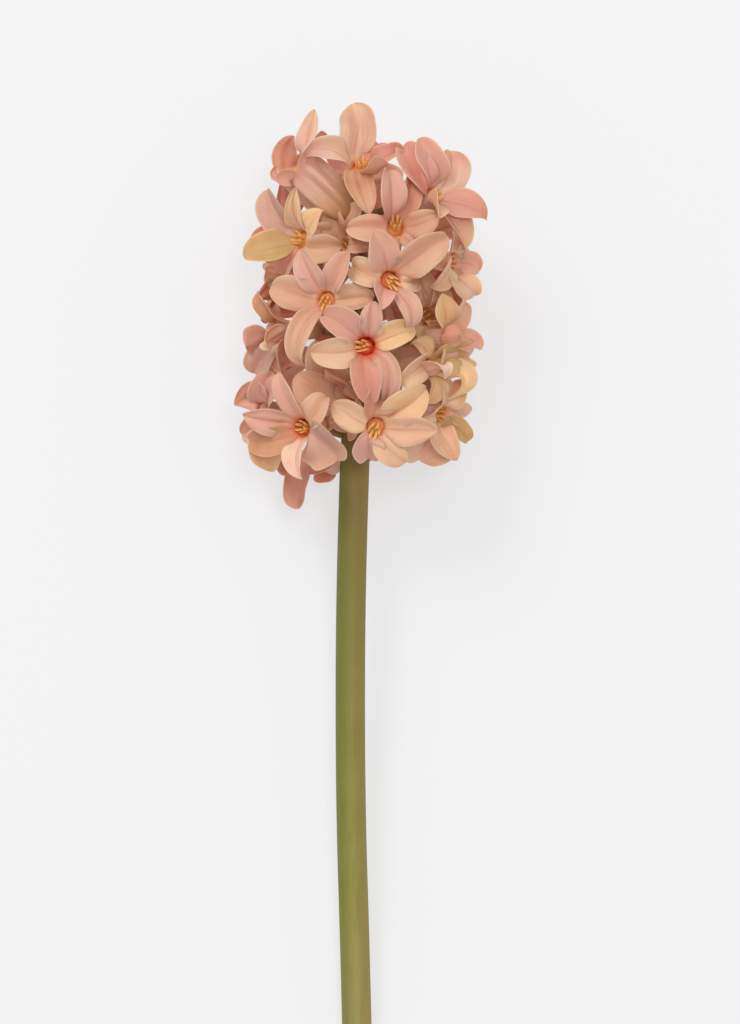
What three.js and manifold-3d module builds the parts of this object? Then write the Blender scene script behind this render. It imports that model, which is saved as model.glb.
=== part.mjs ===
// A cut hyacinth spike lying on its side: a green stem with 33 florets on short stalks,
// and a star of six anthers in the throat of each floret.
// Flower frame, in mm: x to the right, y along the stem from its cut end to the top, z toward the viewer.
// The whole flower is tilted a little at the end, because the thick head holds the stem's upper end
// off the surface.
import * as THREE from "three";
import { mergeVertices } from "three/addons/utils/BufferGeometryUtils.js";
import Module from "manifold-3d";

const wasm = await Module();
wasm.setup();

// Driving sizes, in mm
const HEAD_LENGTH = 117.5;
const STEM_PAST_PHOTO = 6;
const STEM_RADIUS = 4.3;
const STEM_SIDES = 8;
const STEM_STEPS = 18;
const RACHIS_RADIUS = 3.4;
const RACHIS_TIP_RADIUS = 1.6;
const NECK_LENGTH = 20;
const STALK_RADIUS = 1.1;
const STALK_END_RADIUS = 1.4;
const STALK_SIDES = 4;
const STALK_DROP = 3;
const TUBE_LENGTH = 12;
const TUBE_BASE_RADIUS = 1.6;
const TUBE_BELLY_RADIUS = 2.9;
const THROAT_RADIUS = 3.2;
const THROAT_WALL = 0.9;
const THROAT_DEPTH = 1.4;
const BELLY_PLACE = 0.6;
const TUBE_SIDES = 6;
const PETAL_THICKNESS = 1.1;
const PETAL_WIDTH = 8.4;
const PETAL_FULLNESS = 1.1;
const PETAL_LENGTH = 16;
const PETAL_CHANNEL = 0.22;
const PETAL_ROOT_HALF_WIDTH = 1.44;
const PETAL_WIDEST_PLACE = 0.42;
const PETAL_BLUNTNESS = 2.2;
const PETAL_STATIONS = [0.2, 0.46, 0.78];
const FACING_PLACE = 0.56;
const PETAL_THINNING = 0.3;
const SUNK_DEPTH = 1.8;
const SUNK_INSET = 0.9;
const SUNK_HALF_WIDTH = 1.15;
const SUNK_HALF_THICKNESS = 0.32;
const ANTHER_REACH = 1.7;
const ANTHER_RISE = 2;
const VALLEY_REACH = 0.8;
const VALLEY_RISE = 0.2;
const PISTIL_RISE = 0.7;
const STAMEN_FOOT_RADIUS = 0.9;
const STAMEN_FOOT_HEIGHT = 0.6;
const FUSED_SINK = 1;
const FUSED_TURN = 0.21;
const GAP = 0.3;
const GAP_STEP = 0.02;
const SLIMMING_STEP = 0.015;
const SWING_STEP = 0.05;
const TRIES = 8;
const SLIVER = 0.04;
const CORNER_APART = 0.0003;
const LIE_ANGLE = 6.4 * Math.PI / 180;

// Readings from the photograph, in its pixels
const PHOTO_HEAD_TOP = 103;
const PHOTO_HEAD_BOTTOM = 508;
const PHOTO_BOTTOM_EDGE = 1024;
const PHOTO_CENTRE_X = 357;
const MM_PER_PIXEL = HEAD_LENGTH / (PHOTO_HEAD_BOTTOM - PHOTO_HEAD_TOP);

// Centre line of stem and rachis: photo x, photo y, depth toward the viewer in mm
const STEM_LINE = [
  [357, 1044.7, 0],
  [354, 930, 0],
  [351, 820, 0],
  [350, 700, 0],
  [351, 590, 0],
  [354, 477, 0],
  [357, 400, 0],
  [359, 320, 0],
  [361, 240, 0],
  [361, 180, 0],
];

const vec = (x, y, z) => new THREE.Vector3(x, y, z);

// A point read in the photograph, with its depth in mm, as a point of the flower frame
function fromPhoto([x, y, depth]) {
  const along = (PHOTO_BOTTOM_EDGE - y) * MM_PER_PIXEL + STEM_PAST_PHOTO;
  return vec((x - PHOTO_CENTRE_X) * MM_PER_PIXEL, along, depth);
}

// A petal by the place of its tip in the photograph. bow pushes its middle sideways, blunt squares its end
// and show turns its face to the viewer: 1 the inner face, -1 the outer one, less than 1 only part of the way
function petal(x, y, depth, options = {}) {
  const { width = PETAL_WIDTH, twist = 0, bow = [0, 0, 0], show = 0 } = options;
  const { curl = 0.5, channel = PETAL_CHANNEL, blunt = PETAL_BLUNTNESS } = options;
  return { tip: fromPhoto([x, y, depth]), width, twist, bow: vec(...bow), show, curl, channel, blunt };
}

// A floret by the place of its throat in the photograph and the way it faces
function floret(throat, face, petals, tube = TUBE_LENGTH, stout = 1) {
  return { mouth: fromPhoto(throat), axis: vec(...face).normalize(), petals, tube, stout };
}

// Florets that the photograph shows, front ones first
const SHOWN_FLORETS = [
  // Bottom centre, facing the viewer
  floret([376, 427, 22], [0.2, -0.15, 1], [
    petal(333, 403, 19, { width: 8 }),
    petal(398, 374, 16, { width: 9, twist: 0.4 }),
    petal(429, 387, 21, { width: 9.6 }),
    petal(437, 431, 23, { width: 8.4, bow: [0, 1.5, 0] }),
    petal(407, 465, 22, { width: 7.4 }),
    petal(368, 459, 15, { width: 8.6 }),
  ]),
  // Centre
  floret([366, 347, 22.5], [0.05, 0, 1], [
    petal(373, 300, 26, { width: 6.6 }),
    petal(319, 313, 22, { width: 8.4 }),
    petal(311, 353, 24, { width: 8.4 }),
    petal(372, 408, 26, { width: 8.6 }),
    petal(380, 408, 22, { width: 6, bow: [3.6, 0.5, 0] }),
    petal(416, 330, 22, { width: 7.4 }),
  ]),
  // Right of centre, upper
  floret([390, 281, 22], [0.3, 0.05, 1], [
    petal(373, 232, 27, { width: 9.4 }),
    petal(450, 235, 24, { width: 9.4 }),
    petal(348, 265, 20, { width: 8 }),
    petal(381, 312, 30, { width: 6.8, channel: 0.5 }),
    petal(407, 336, 24, { width: 6, bow: [4, 1, 3] }),
    petal(416, 281, 12, { width: 6 }),
  ]),
  // Upper centre, behind the one before
  floret([396, 228, 18], [0.42, 0.12, 0.9], [
    petal(388, 167, 18, { width: 7.8, channel: 0.4 }),
    petal(344, 229, 19, { width: 7.8 }),
    petal(440, 214, 20, { width: 7.6 }),
    petal(412, 168, 13, { width: 6 }),
    petal(374, 262, 12, { width: 7 }),
    petal(446, 270, 13, { width: 7.6 }),
  ]),
  // Left of centre
  floret([326, 301, 20], [-0.4, 0, 0.9], [
    petal(270, 286, 17, { width: 9.6 }),
    petal(300, 250, 19, { width: 7.6 }),
    petal(349, 253, 24, { width: 7 }),
    petal(375, 298, 21, { width: 7.2 }),
    petal(350, 335, 12, { width: 7 }),
    petal(303, 369, 19, { width: 6.4, bow: [-3, 0, 2] }),
  ]),
  // Lower left
  floret([302, 428, 17], [-0.55, -0.1, 0.8], [
    petal(277, 371, 20, { width: 6.8 }),
    petal(242, 415, 17, { width: 7.8 }),
    petal(246, 440, 9, { width: 8 }),
    petal(301, 481, 22, { width: 6.4, channel: 0.4 }),
    petal(338, 460, 18, { width: 12.6, bow: [1.5, 1.6, 0], blunt: 5 }),
    petal(328, 394, 21, { width: 8 }),
  ]),
  // Upper left
  floret([301, 240, 16], [-0.7, 0.1, 0.7], [
    petal(242, 257, 14, { width: 9 }),
    petal(268, 189, 11, { width: 8.6, blunt: 3 }),
    petal(297, 189, 20, { width: 4.5, twist: 1.0 }),
    petal(323, 210, 22, { width: 7 }),
    petal(343, 246, 17, { width: 8 }),
    petal(283, 278, 9, { width: 8 }),
  ]),
  // Lower right
  floret([428, 368, 15], [0.75, 0, 0.62], [
    petal(450, 383, 21, { width: 7.4, bow: [1, 5, 3] }),
    petal(447, 400, 16, { width: 7.6, bow: [7.5, 3, 0] }),
    petal(424, 402, 15, { width: 7 }),
    petal(397, 385, 24, { width: 7.6 }),
    petal(412, 340, 18, { width: 7 }),
    petal(473, 357, 6, { width: 9 }),
  ]),
  // Upper right
  floret([433, 197, 15], [0.72, 0.2, 0.66], [
    petal(420, 138, 13, { width: 8.2, bow: [-1, 0, 0], show: 0.9 }),
    petal(401, 142, 8, { width: 9, bow: [-1, 0, 0], show: 0.9 }),
    petal(452, 147, 11, { width: 10, bow: [-0.5, 0, 0], show: 0.6, blunt: 3 }),
    petal(490, 219, 14, { width: 9 }),
    petal(464, 251, 14, { width: 8.6, blunt: 3 }),
    petal(438, 221, 26, { width: 6.4, channel: 0.4 }),
  ]),
  // Top centre, facing up
  floret([361, 166, 11], [0, 0.75, 0.66], [
    petal(353, 103, 14, { width: 10, bow: [2.2, 0, 0], channel: 0.25, blunt: 7 }),
    petal(304, 158, 18, { width: 7, bow: [0, 2, 1], show: 0.8 }),
    petal(374, 158, 26, { width: 8, bow: [2, -4, 0] }),
    petal(405, 148, 10, { width: 7 }),
    petal(370, 216, 21, { width: 8 }),
    petal(381, 141, 3, { width: 7 }),
  ]),
  // Top left, seen from the side
  floret([298, 168, 11], [-0.71, 0.67, 0.2], [
    petal(315, 111, 12, { width: 5.6, bow: [1.2, 0, 0], curl: 0.1, show: 0.9 }),
    petal(293, 134, 6, { width: 7.4, bow: [1, 0, 0], show: 0.6 }),
    petal(275, 166, 9, { width: 4, show: 0.6 }),
    petal(288, 188, 17, { width: 7, show: -0.8 }),
    petal(326, 148, 2, { width: 6 }),
    petal(329, 138, 0, { width: 6.4 }),
  ], 21, 2.1),
  // Right edge, upper
  floret([452, 262, 11], [0.85, -0.1, 0.5], [
    petal(482, 271, 8, { width: 7 }),
    petal(477, 299, 12, { width: 7.6, show: 0.8, blunt: 3 }),
    petal(431, 290, 18, { width: 6.4 }),
    petal(456, 232, 7, { width: 7 }),
    petal(455, 300, 3, { width: 7 }),
    petal(462, 238, 0, { width: 7 }),
  ]),
  // Right edge, middle
  floret([446, 338, 12.5], [0.85, 0.05, 0.5], [
    petal(442, 294, 19, { width: 7.6, bow: [-1.8, 0, 0], show: 0.8 }),
    petal(464, 336, 20, { width: 6 }),
    petal(480, 350, 10, { width: 7.6, bow: [1, 3.6, 0], show: 0.6 }),
    petal(466, 300, 4, { width: 7 }),
    petal(464, 352, -2, { width: 7 }),
    petal(436, 372, 9, { width: 6 }),
  ]),
  // Right edge, lower
  floret([440, 415, 11], [0.7, -0.35, 0.6], [
    petal(456, 462, 18, { width: 7.6, show: 0.8 }),
    petal(471, 443, 5, { width: 5.8 }),
    petal(421, 460, 9, { width: 12, bow: [-2, 0, 0], show: 0.8, blunt: 3 }),
    petal(427, 419, 21, { width: 5 }),
    petal(454, 378, 5, { width: 8.4, show: 0.8 }),
    petal(462, 420, -3, { width: 7 }),
  ]),
  // Left edge, middle
  floret([284, 330, 8], [-0.92, 0, 0.38], [
    petal(246, 345, 7, { width: 9.6, bow: [0, -1.5, 0], show: -0.8, blunt: 5 }),
    petal(258, 292, 5, { width: 8 }),
    petal(270, 352, 15, { width: 5.6, bow: [-3, 0, 2] }),
    petal(284, 376, 8, { width: 7 }),
    petal(283, 292, -2, { width: 7 }),
    petal(250, 372, -1, { width: 9, show: 0.6 }),
  ]),
  // Left edge, lower
  floret([272, 412, 3], [-0.95, -0.12, 0.15], [
    petal(233, 404, 4, { width: 9, bow: [1, 4, 0], show: 0.9 }),
    petal(238, 436, 1, { width: 7.6, show: 0.8 }),
    petal(270, 472, 6, { width: 10, bow: [3, 0, 0], show: 0.8, blunt: 4 }),
    petal(272, 370, 7, { width: 9, show: 0.9 }),
    petal(252, 382, -9, { width: 7 }),
    petal(252, 444, -9, { width: 7 }),
  ]),
  // Lowest, hanging below the head on the left
  floret([309, 458, -7], [-0.4, -0.65, -0.6], [
    petal(296, 510, -3, { width: 6.8, curl: 0.1, blunt: 4 }),
    petal(338, 462, 3, { width: 8 }),
    petal(272, 466, -4, { width: 7 }),
    petal(336, 473, -10, { width: 7 }),
    petal(284, 470, -18, { width: 7 }),
    petal(312, 468, -20, { width: 7 }),
  ]),
  // Left edge, between the upper and the middle one
  floret([286, 283, -2], [-1, 0.05, -0.08], [
    petal(259, 300, 3, { width: 8 }),
    petal(262, 270, 4, { width: 7.6 }),
    petal(266, 322, -5, { width: 7.6 }),
    petal(272, 254, -8, { width: 7.6 }),
    petal(268, 300, -15, { width: 7.6 }),
    petal(268, 272, -15, { width: 7.6 }),
  ]),
];

// Florets set deeper in, with short tubes, which show between the front ones
const DEEP_TUBE = 6;
const DEEP_FLORETS = [
  floret([348, 405, 8], [-0.5, 0.35, 0.8], [
    petal(325, 377, 19, { width: 8 }),
    petal(356, 374, 10, { width: 7.4 }),
    petal(295, 372, 10, { width: 11 }),
    petal(352, 430, 6, { width: 7.4 }),
    petal(328, 430, 8, { width: 7.4 }),
    petal(324, 350, 7, { width: 10 }),
  ], DEEP_TUBE),
  floret([342, 246, 9], [-0.6, 0.5, 0.6], [
    petal(336, 204, 10, { width: 8.4 }),
    petal(366, 202, 12, { width: 8.4 }),
    petal(314, 252, 11, { width: 8.4 }),
    petal(350, 282, 8, { width: 8.4 }),
    petal(376, 250, 8, { width: 7.4 }),
    petal(312, 226, 11, { width: 8.4 }),
  ], DEEP_TUBE),
  floret([428, 316, 8], [0.5, 0.2, 0.8], [
    petal(434, 284, 12, { width: 7.4 }),
    petal(404, 290, 9, { width: 7.4 }),
    petal(402, 322, 11, { width: 8.4 }),
    petal(444, 322, 12, { width: 7.4 }),
    petal(420, 348, 12, { width: 8.4 }),
    petal(418, 274, 6, { width: 8.4 }),
  ], DEEP_TUBE),
];

// Florets of the hidden back, in rows round the rachis: height on the stem in mm, azimuths in degrees
const BACK_ROWS = [
  { height: 180, azimuths: [118, 172] },
  { height: 198, azimuths: [132, 184, 236] },
  { height: 216, azimuths: [108, 158, 210] },
  { height: 234, azimuths: [130, 182, 236] },
  { height: 245, azimuths: [180] },
];
const BACK_REACH = 22;
const BACK_TUBE = 11;
const BACK_LIFT = 0.15;
const BACK_LIFT_FROM = 225;
const BACK_LIFT_GAIN = 0.02;
const MOUTH_CLEARANCE = 7;
const TIP_CLEARANCE = 0.1;
const BACK_SEED = 7;

// Florets whose stamens are a body of their own; in the last ones, at the back and deep in,
// the stamens are one with the floret
const OWN_STAMENS = 26;

// A small random source with a fixed seed, so that the back florets come out the same each time
function randomFrom(seed) {
  let state = seed;
  return () => {
    state = (state * 16807) % 2147483647;
    return state / 2147483647;
  };
}

// Level of the surface under the flower, in the flower frame
function surfaceDepth(y) {
  return -STEM_RADIUS - y * Math.tan(LIE_ANGLE);
}

function backFlorets() {
  const random = randomFrom(BACK_SEED);
  const vary = (spread) => (random() - 0.5) * 2 * spread;
  const florets = [];
  for (const { height, azimuths } of BACK_ROWS) {
    for (const degrees of azimuths) {
      const azimuth = (degrees + vary(4)) * Math.PI / 180;
      const y = height + vary(2);
      const lift = BACK_LIFT + Math.max(0, height - BACK_LIFT_FROM) * BACK_LIFT_GAIN;
      const outward = vec(Math.sin(azimuth), 0, Math.cos(azimuth));
      const axis = outward.clone().setY(lift).normalize();
      const mouth = outward.clone().multiplyScalar(BACK_REACH);
      mouth.y = y + BACK_REACH * lift * 0.5;
      mouth.z = Math.max(mouth.z, surfaceDepth(mouth.y) + MOUTH_CLEARANCE);
      const petals = backPetals(mouth, axis, vary);
      florets.push({ mouth, axis, petals, tube: BACK_TUBE, stout: 1 });
    }
  }
  return florets;
}

// Six petals spread evenly round the mouth, kept above the surface
function backPetals(mouth, axis, vary) {
  const side = vec(0, 1, 0).cross(axis).normalize();
  const up = axis.clone().cross(side).normalize();
  const turn = vary(0.5);
  const petals = [];
  for (let i = 0; i < 6; i += 1) {
    const angle = turn + (i * Math.PI) / 3 + vary(0.08);
    const spread = PETAL_LENGTH * (0.86 + vary(0.05));
    const forward = 1.5 + vary(2.5) + (i % 2) * 2;
    const tip = mouth.clone()
      .addScaledVector(side, Math.cos(angle) * spread)
      .addScaledVector(up, Math.sin(angle) * spread)
      .addScaledVector(axis, forward);
    tip.z = Math.max(tip.z, surfaceDepth(tip.y) + TIP_CLEARANCE);
    const width = PETAL_WIDTH * (0.92 + vary(0.06));
    const twist = vary(0.2);
    const looks = { show: 0, curl: 0.4, channel: PETAL_CHANNEL, blunt: PETAL_BLUNTNESS };
    petals.push({ tip, width, twist, bow: vec(0, 0, 0), ...looks });
  }
  return petals;
}

// A solid from a list of corner points and the triangles between them
function solidFrom(positions, triangles) {
  const geometry = new THREE.BufferGeometry();
  geometry.setAttribute("position", new THREE.Float32BufferAttribute(positions, 3));
  geometry.setIndex(triangles);
  return solidOf(geometry);
}

function solidOf(geometry) {
  const bare = geometry.clone();
  bare.deleteAttribute("normal");
  bare.deleteAttribute("uv");
  const merged = mergeVertices(bare, 1e-4);
  return new wasm.Manifold(new wasm.Mesh({
    numProp: 3,
    vertProperties: Float32Array.from(merged.attributes.position.array),
    triVerts: Uint32Array.from(merged.index.array),
  }));
}

function geometryOf(solid) {
  const mesh = solid.getMesh();
  const geometry = new THREE.BufferGeometry();
  geometry.setAttribute("position", new THREE.BufferAttribute(Float32Array.from(mesh.vertProperties), 3));
  geometry.setIndex(new THREE.BufferAttribute(Uint32Array.from(mesh.triVerts), 1));
  geometry.computeVertexNormals();
  return geometry;
}

// Rings of points joined into one closed skin; the first and the last ring close on a centre point each
function skin(rings, start, end) {
  const sides = rings[0].length;
  const points = [...rings.flat(), start, end];
  const triangles = [];
  for (let r = 0; r + 1 < rings.length; r += 1) {
    for (let i = 0; i < sides; i += 1) {
      const a = r * sides + i;
      const b = r * sides + (i + 1) % sides;
      triangles.push(a, b, b + sides, a, b + sides, a + sides);
    }
  }
  const startIndex = points.length - 2;
  const endIndex = points.length - 1;
  const last = (rings.length - 1) * sides;
  for (let i = 0; i < sides; i += 1) {
    triangles.push(startIndex, (i + 1) % sides, i);
    triangles.push(endIndex, last + i, last + (i + 1) % sides);
  }
  return solidFrom(points.flatMap((p) => p.toArray()), triangles);
}

// Two directions across an axis, which turn counter-clockwise about it
function across(axis) {
  const hint = Math.abs(axis.y) < 0.9 ? vec(0, 1, 0) : vec(0, 0, 1);
  const side = hint.clone().cross(axis).normalize();
  return [side, axis.clone().cross(side)];
}

function ring(centre, side, up, radius, sides, turn = 0) {
  const points = [];
  for (let i = 0; i < sides; i += 1) {
    const angle = turn + (i * 2 * Math.PI) / sides;
    const r = typeof radius === "function" ? radius(i) : radius;
    points.push(centre.clone()
      .addScaledVector(side, Math.cos(angle) * r)
      .addScaledVector(up, Math.sin(angle) * r));
  }
  return points;
}

// Petals in the order in which they stand round the mouth, each with its place on the rim
function rimPlaces(spec) {
  const [side, up] = across(spec.axis);
  const placed = spec.petals.map((p) => {
    const offset = p.tip.clone().sub(spec.mouth);
    return { ...p, angle: Math.atan2(offset.dot(up), offset.dot(side)) };
  });
  placed.sort((a, b) => a.angle - b.angle);
  let sine = 0;
  let cosine = 0;
  placed.forEach((p, i) => {
    const shift = p.angle - (i * Math.PI) / 3;
    sine += Math.sin(shift);
    cosine += Math.cos(shift);
  });
  const turn = Math.atan2(sine, cosine);
  return { side, up, turn, placed };
}

const smooth = (t) => {
  const s = Math.min(1, Math.max(0, t));
  return s * s * (3 - 2 * s);
};

// Half the width of a petal along its length: broad soon after the root, then drawn to a point
function halfWidth(width, s, blunt) {
  const root = PETAL_ROOT_HALF_WIDTH;
  const full = width / 2;
  if (s < PETAL_WIDEST_PLACE) return root + (full - root) * (1 - Math.pow(1 - s / PETAL_WIDEST_PLACE, 2.2));
  const past = (s - PETAL_WIDEST_PLACE) / (1 - PETAL_WIDEST_PLACE);
  return full * Math.pow(Math.max(0, 1 - Math.pow(past, blunt)), 0.9);
}

// The turn about its own length that brings a petal's face toward the viewer
function viewerTurn(tangent, wide, show) {
  const face = tangent.clone().cross(wide);
  const sign = show < 0 ? -1 : 1;
  return Math.atan2(-sign * wide.z, sign * face.z);
}

// A petal bends out of the throat's rim and on to its tip; grow thickens it into the space it keeps clear,
// and fullness widens it
function petalSolid(p, spec, rootDirection, grow, fullness) {
  const { mouth, axis } = spec;
  const rim = (THROAT_RADIUS - THROAT_WALL / 2) * spec.stout;
  const root = mouth.clone().addScaledVector(rootDirection, rim);
  const tip = p.tip.clone();
  const length = root.distanceTo(tip);
  const flare = axis.clone().multiplyScalar(0.8).addScaledVector(rootDirection, 0.6);
  const first = root.clone().addScaledVector(flare, 0.3 * length).addScaledVector(p.bow, 0.7);
  const back = tip.clone().sub(first).normalize().addScaledVector(axis, -p.curl).normalize();
  const second = tip.clone().addScaledVector(back, -0.35 * length).add(p.bow);
  const sunk = root.clone().addScaledVector(axis, -SUNK_DEPTH).addScaledVector(rootDirection, -SUNK_INSET);
  const line = new THREE.CubicBezierCurve3(root, first, second, tip);
  const offset = p.tip.clone().sub(mouth);
  offset.addScaledVector(axis, -offset.dot(axis)).normalize();
  const rootSide = axis.clone().cross(rootDirection);
  const tipSide = axis.clone().cross(offset);
  const thick = PETAL_THICKNESS / 2 + grow;
  const rings = [];
  const sideways = (tangent, s) => {
    const wide = rootSide.clone().lerp(tipSide, smooth(s * 1.6));
    return wide.addScaledVector(tangent, -wide.dot(tangent)).normalize();
  };
  const facing = line.getTangent(FACING_PLACE);
  const shown = Math.abs(p.show) * viewerTurn(facing, sideways(facing, FACING_PLACE), p.show);
  const section = (centre, tangent, s, half, thickness, cup) => {
    const wide = sideways(tangent, s).applyAxisAngle(tangent, (p.twist + shown) * smooth(s * 1.5));
    const inner = tangent.clone().cross(wide);
    rings.push([
      centre.clone().addScaledVector(wide, half).addScaledVector(inner, cup),
      centre.clone().addScaledVector(inner, thickness),
      centre.clone().addScaledVector(wide, -half).addScaledVector(inner, cup),
      centre.clone().addScaledVector(inner, -thickness),
    ]);
  };
  section(sunk, axis, 0, SUNK_HALF_WIDTH + grow, SUNK_HALF_THICKNESS + grow, 0);
  for (const s of PETAL_STATIONS) {
    const half = halfWidth(p.width * fullness, s, p.blunt) + grow * 2.5;
    const thin = thick * (1 - PETAL_THINNING * s);
    section(line.getPoint(s), line.getTangent(s), s, half, thin, half * p.channel);
  }
  const end = tip.clone().addScaledVector(line.getTangent(1), grow * 2);
  return skin(rings, sunk.clone().addScaledVector(axis, -0.01), end);
}

// The tube with its six petals round a shallow throat; swing turns the tube a little under the petals
function floretSolid(spec, grow = 0, fullness = PETAL_FULLNESS, swing = 0) {
  const { side, up, turn, placed } = rimPlaces(spec);
  const { mouth, axis, tube, stout } = spec;
  const at = (height) => mouth.clone().addScaledVector(axis, height);
  const hexagon = (height, radius) => ring(at(height), side, up, radius, TUBE_SIDES, turn + swing);
  const rings = [
    hexagon(-tube - grow, TUBE_BASE_RADIUS + grow),
    hexagon(-tube * BELLY_PLACE, TUBE_BELLY_RADIUS * stout + grow),
    hexagon(0, THROAT_RADIUS * stout + grow),
  ];
  if (!grow) rings.push(hexagon(0, (THROAT_RADIUS - THROAT_WALL) * stout));
  let solid = skin(rings, at(-tube - grow), at(grow || -THROAT_DEPTH));
  placed.forEach((p, i) => {
    const angle = turn + (i * Math.PI) / 3;
    const rootDirection = side.clone().multiplyScalar(Math.cos(angle)).addScaledVector(up, Math.sin(angle));
    solid = solid.add(petalSolid(p, spec, rootDirection, grow, fullness));
  });
  return solid;
}

// Six anthers round a short pistil, as one star-shaped body in the throat;
// sink sets its foot into the throat's floor, and twist turns it about the axis
function stamenSolid(spec, sink = 0, twist = 0) {
  const { side, up, turn: rimTurn } = rimPlaces(spec);
  const turn = rimTurn + twist;
  const { mouth, axis } = spec;
  const at = (height) => mouth.clone().addScaledVector(axis, height);
  const floor = -THROAT_DEPTH + GAP - sink;
  const columns = 2 * spec.petals.length;
  const foot = ring(at(floor + STAMEN_FOOT_HEIGHT), side, up, STAMEN_FOOT_RADIUS, columns, turn);
  const crown = ring(mouth, side, up, (i) => (i % 2 ? VALLEY_REACH : ANTHER_REACH), columns, turn);
  crown.forEach((point, i) => point.addScaledVector(axis, i % 2 ? VALLEY_RISE : ANTHER_RISE));
  return skin([foot, crown], at(floor), at(PISTIL_RISE));
}

const stemCurve = new THREE.CatmullRomCurve3(STEM_LINE.map(fromPhoto));

// Radius of stem and rachis at a height: even up to the head, then slimmer toward the top
function stemRadius(y) {
  const headFoot = fromPhoto([0, PHOTO_HEAD_BOTTOM, 0]).y;
  const headTop = fromPhoto([0, STEM_LINE[STEM_LINE.length - 1][1], 0]).y;
  if (y < headFoot) return STEM_RADIUS;
  const up = smooth((y - headFoot) / NECK_LENGTH);
  const taper = (y - headFoot) / (headTop - headFoot);
  const rachis = RACHIS_RADIUS + (RACHIS_TIP_RADIUS - RACHIS_RADIUS) * taper;
  return STEM_RADIUS + (rachis - STEM_RADIUS) * up;
}

// The place on the rachis that a floret's stalk grows from: a little below its tube
function stalkRoot(base) {
  const top = fromPhoto(STEM_LINE[STEM_LINE.length - 1]);
  const y = Math.min(base.y - STALK_DROP, top.y - 2);
  const samples = 200;
  let best = top;
  for (let i = 0; i <= samples; i += 1) {
    const point = stemCurve.getPoint(i / samples);
    if (Math.abs(point.y - y) < Math.abs(best.y - y)) best = point;
  }
  return best.clone();
}

// Stem and rachis with a stalk to the foot of each floret's tube
function stemSolid(florets, grow = 0) {
  const rings = [];
  for (let i = 0; i <= STEM_STEPS; i += 1) {
    const centre = stemCurve.getPoint(i / STEM_STEPS);
    const radius = (stemRadius(centre.y) + grow) / Math.cos(Math.PI / STEM_SIDES);
    rings.push(ring(centre, vec(0, 0, 1), vec(1, 0, 0), radius, STEM_SIDES, Math.PI / STEM_SIDES));
  }
  let solid = skin(rings, stemCurve.getPoint(0), stemCurve.getPoint(1));
  for (const spec of florets) {
    const base = spec.mouth.clone().addScaledVector(spec.axis, -spec.tube - GAP);
    const root = stalkRoot(base);
    const way = base.clone().sub(root);
    const [side, up] = across(way.clone().normalize());
    const [endSide, endUp] = across(spec.axis);
    const stalk = [
      ring(root, side, up, STALK_RADIUS + grow, STALK_SIDES),
      ring(base, endSide, endUp, STALK_END_RADIUS + grow, STALK_SIDES),
    ];
    solid = solid.add(skin(stalk, root, base));
  }
  return solid;
}

// Parts of one solid that a cut has left loose are dropped
function mainBody(solid) {
  const bodies = solid.simplify(SLIVER).decompose();
  return bodies.reduce((a, b) => (b.volume() > a.volume() ? b : a));
}

function boxesTouch(a, b) {
  const p = a.boundingBox();
  const q = b.boundingBox();
  return [0, 1, 2].every((i) => p.min[i] <= q.max[i] && q.min[i] <= p.max[i]);
}

// How clean a solid's skin is: 2 when no two corners fall together, 1 when some do but each edge still
// has just two faces, 0 otherwise
function cleanness(solid) {
  const bare = geometryOf(solid);
  bare.deleteAttribute("normal");
  const merged = mergeVertices(bare, CORNER_APART);
  const corners = merged.index.array;
  const uses = new Map();
  corners.forEach((corner, i) => {
    const next = corners[i % 3 === 2 ? i - 2 : i + 1];
    const edge = Math.min(corner, next) + "-" + Math.max(corner, next);
    uses.set(edge, (uses.get(edge) || 0) + 1);
  });
  if ([...uses.values()].some((faces) => faces !== 2)) return 0;
  return merged.attributes.position.count === bare.attributes.position.count ? 2 : 1;
}

// What would cross another piece is cut back to a small gap; othersAt gives the solids to cut with.
// A cut that leaves an unclean skin is made again: a little slimmer, the tube turned a little, and with
// a wider gap. The cleanest one is kept
function cutClear(solidAt, othersAt) {
  let kept = null;
  let best = -1;
  for (let i = 0; i < TRIES && best < 2; i += 1) {
    let result = solidAt(PETAL_FULLNESS * (1 - i * SLIMMING_STEP), i * SWING_STEP);
    for (const other of othersAt(GAP + i * GAP_STEP)) {
      if (boxesTouch(result, other)) result = result.subtract(other);
    }
    const body = mainBody(result);
    const mark = cleanness(body);
    if (mark > best) {
      best = mark;
      kept = body;
    }
  }
  return kept;
}

const PETAL_MATERIAL = new THREE.MeshStandardMaterial({ color: 0xe2aa91, roughness: 0.5, metalness: 0 });
const STEM_MATERIAL = new THREE.MeshStandardMaterial({ color: 0x807634, roughness: 0.45, metalness: 0 });
const STAMEN_MATERIAL = new THREE.MeshStandardMaterial({ color: 0xdc963c, roughness: 0.7, metalness: 0 });

function namedMesh(name, solid, material) {
  const mesh = new THREE.Mesh(geometryOf(solid), material);
  mesh.name = name;
  return mesh;
}

// The half space under the surface, in the flower frame: it presses the lowest petals flat
function underSurface() {
  const block = new THREE.BoxGeometry(400, 700, 100);
  block.translate(0, 0, -50);
  block.rotateX(-LIE_ANGLE);
  block.translate(0, 0, -STEM_RADIUS);
  return solidOf(block);
}

const florets = [...SHOWN_FLORETS, ...backFlorets(), ...DEEP_FLORETS];
const under = underSurface();
const flower = new THREE.Group();
const label = (i) => String(i + 1).padStart(2, "0");

// Florets and stem thickened by a gap, each set made once
const grownSets = new Map();
function grown(gap) {
  if (!grownSets.has(gap)) {
    const solids = florets.map((spec) => floretSolid(spec, gap));
    grownSets.set(gap, { solids, stem: stemSolid(florets, gap) });
  }
  return grownSets.get(gap);
}

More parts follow.
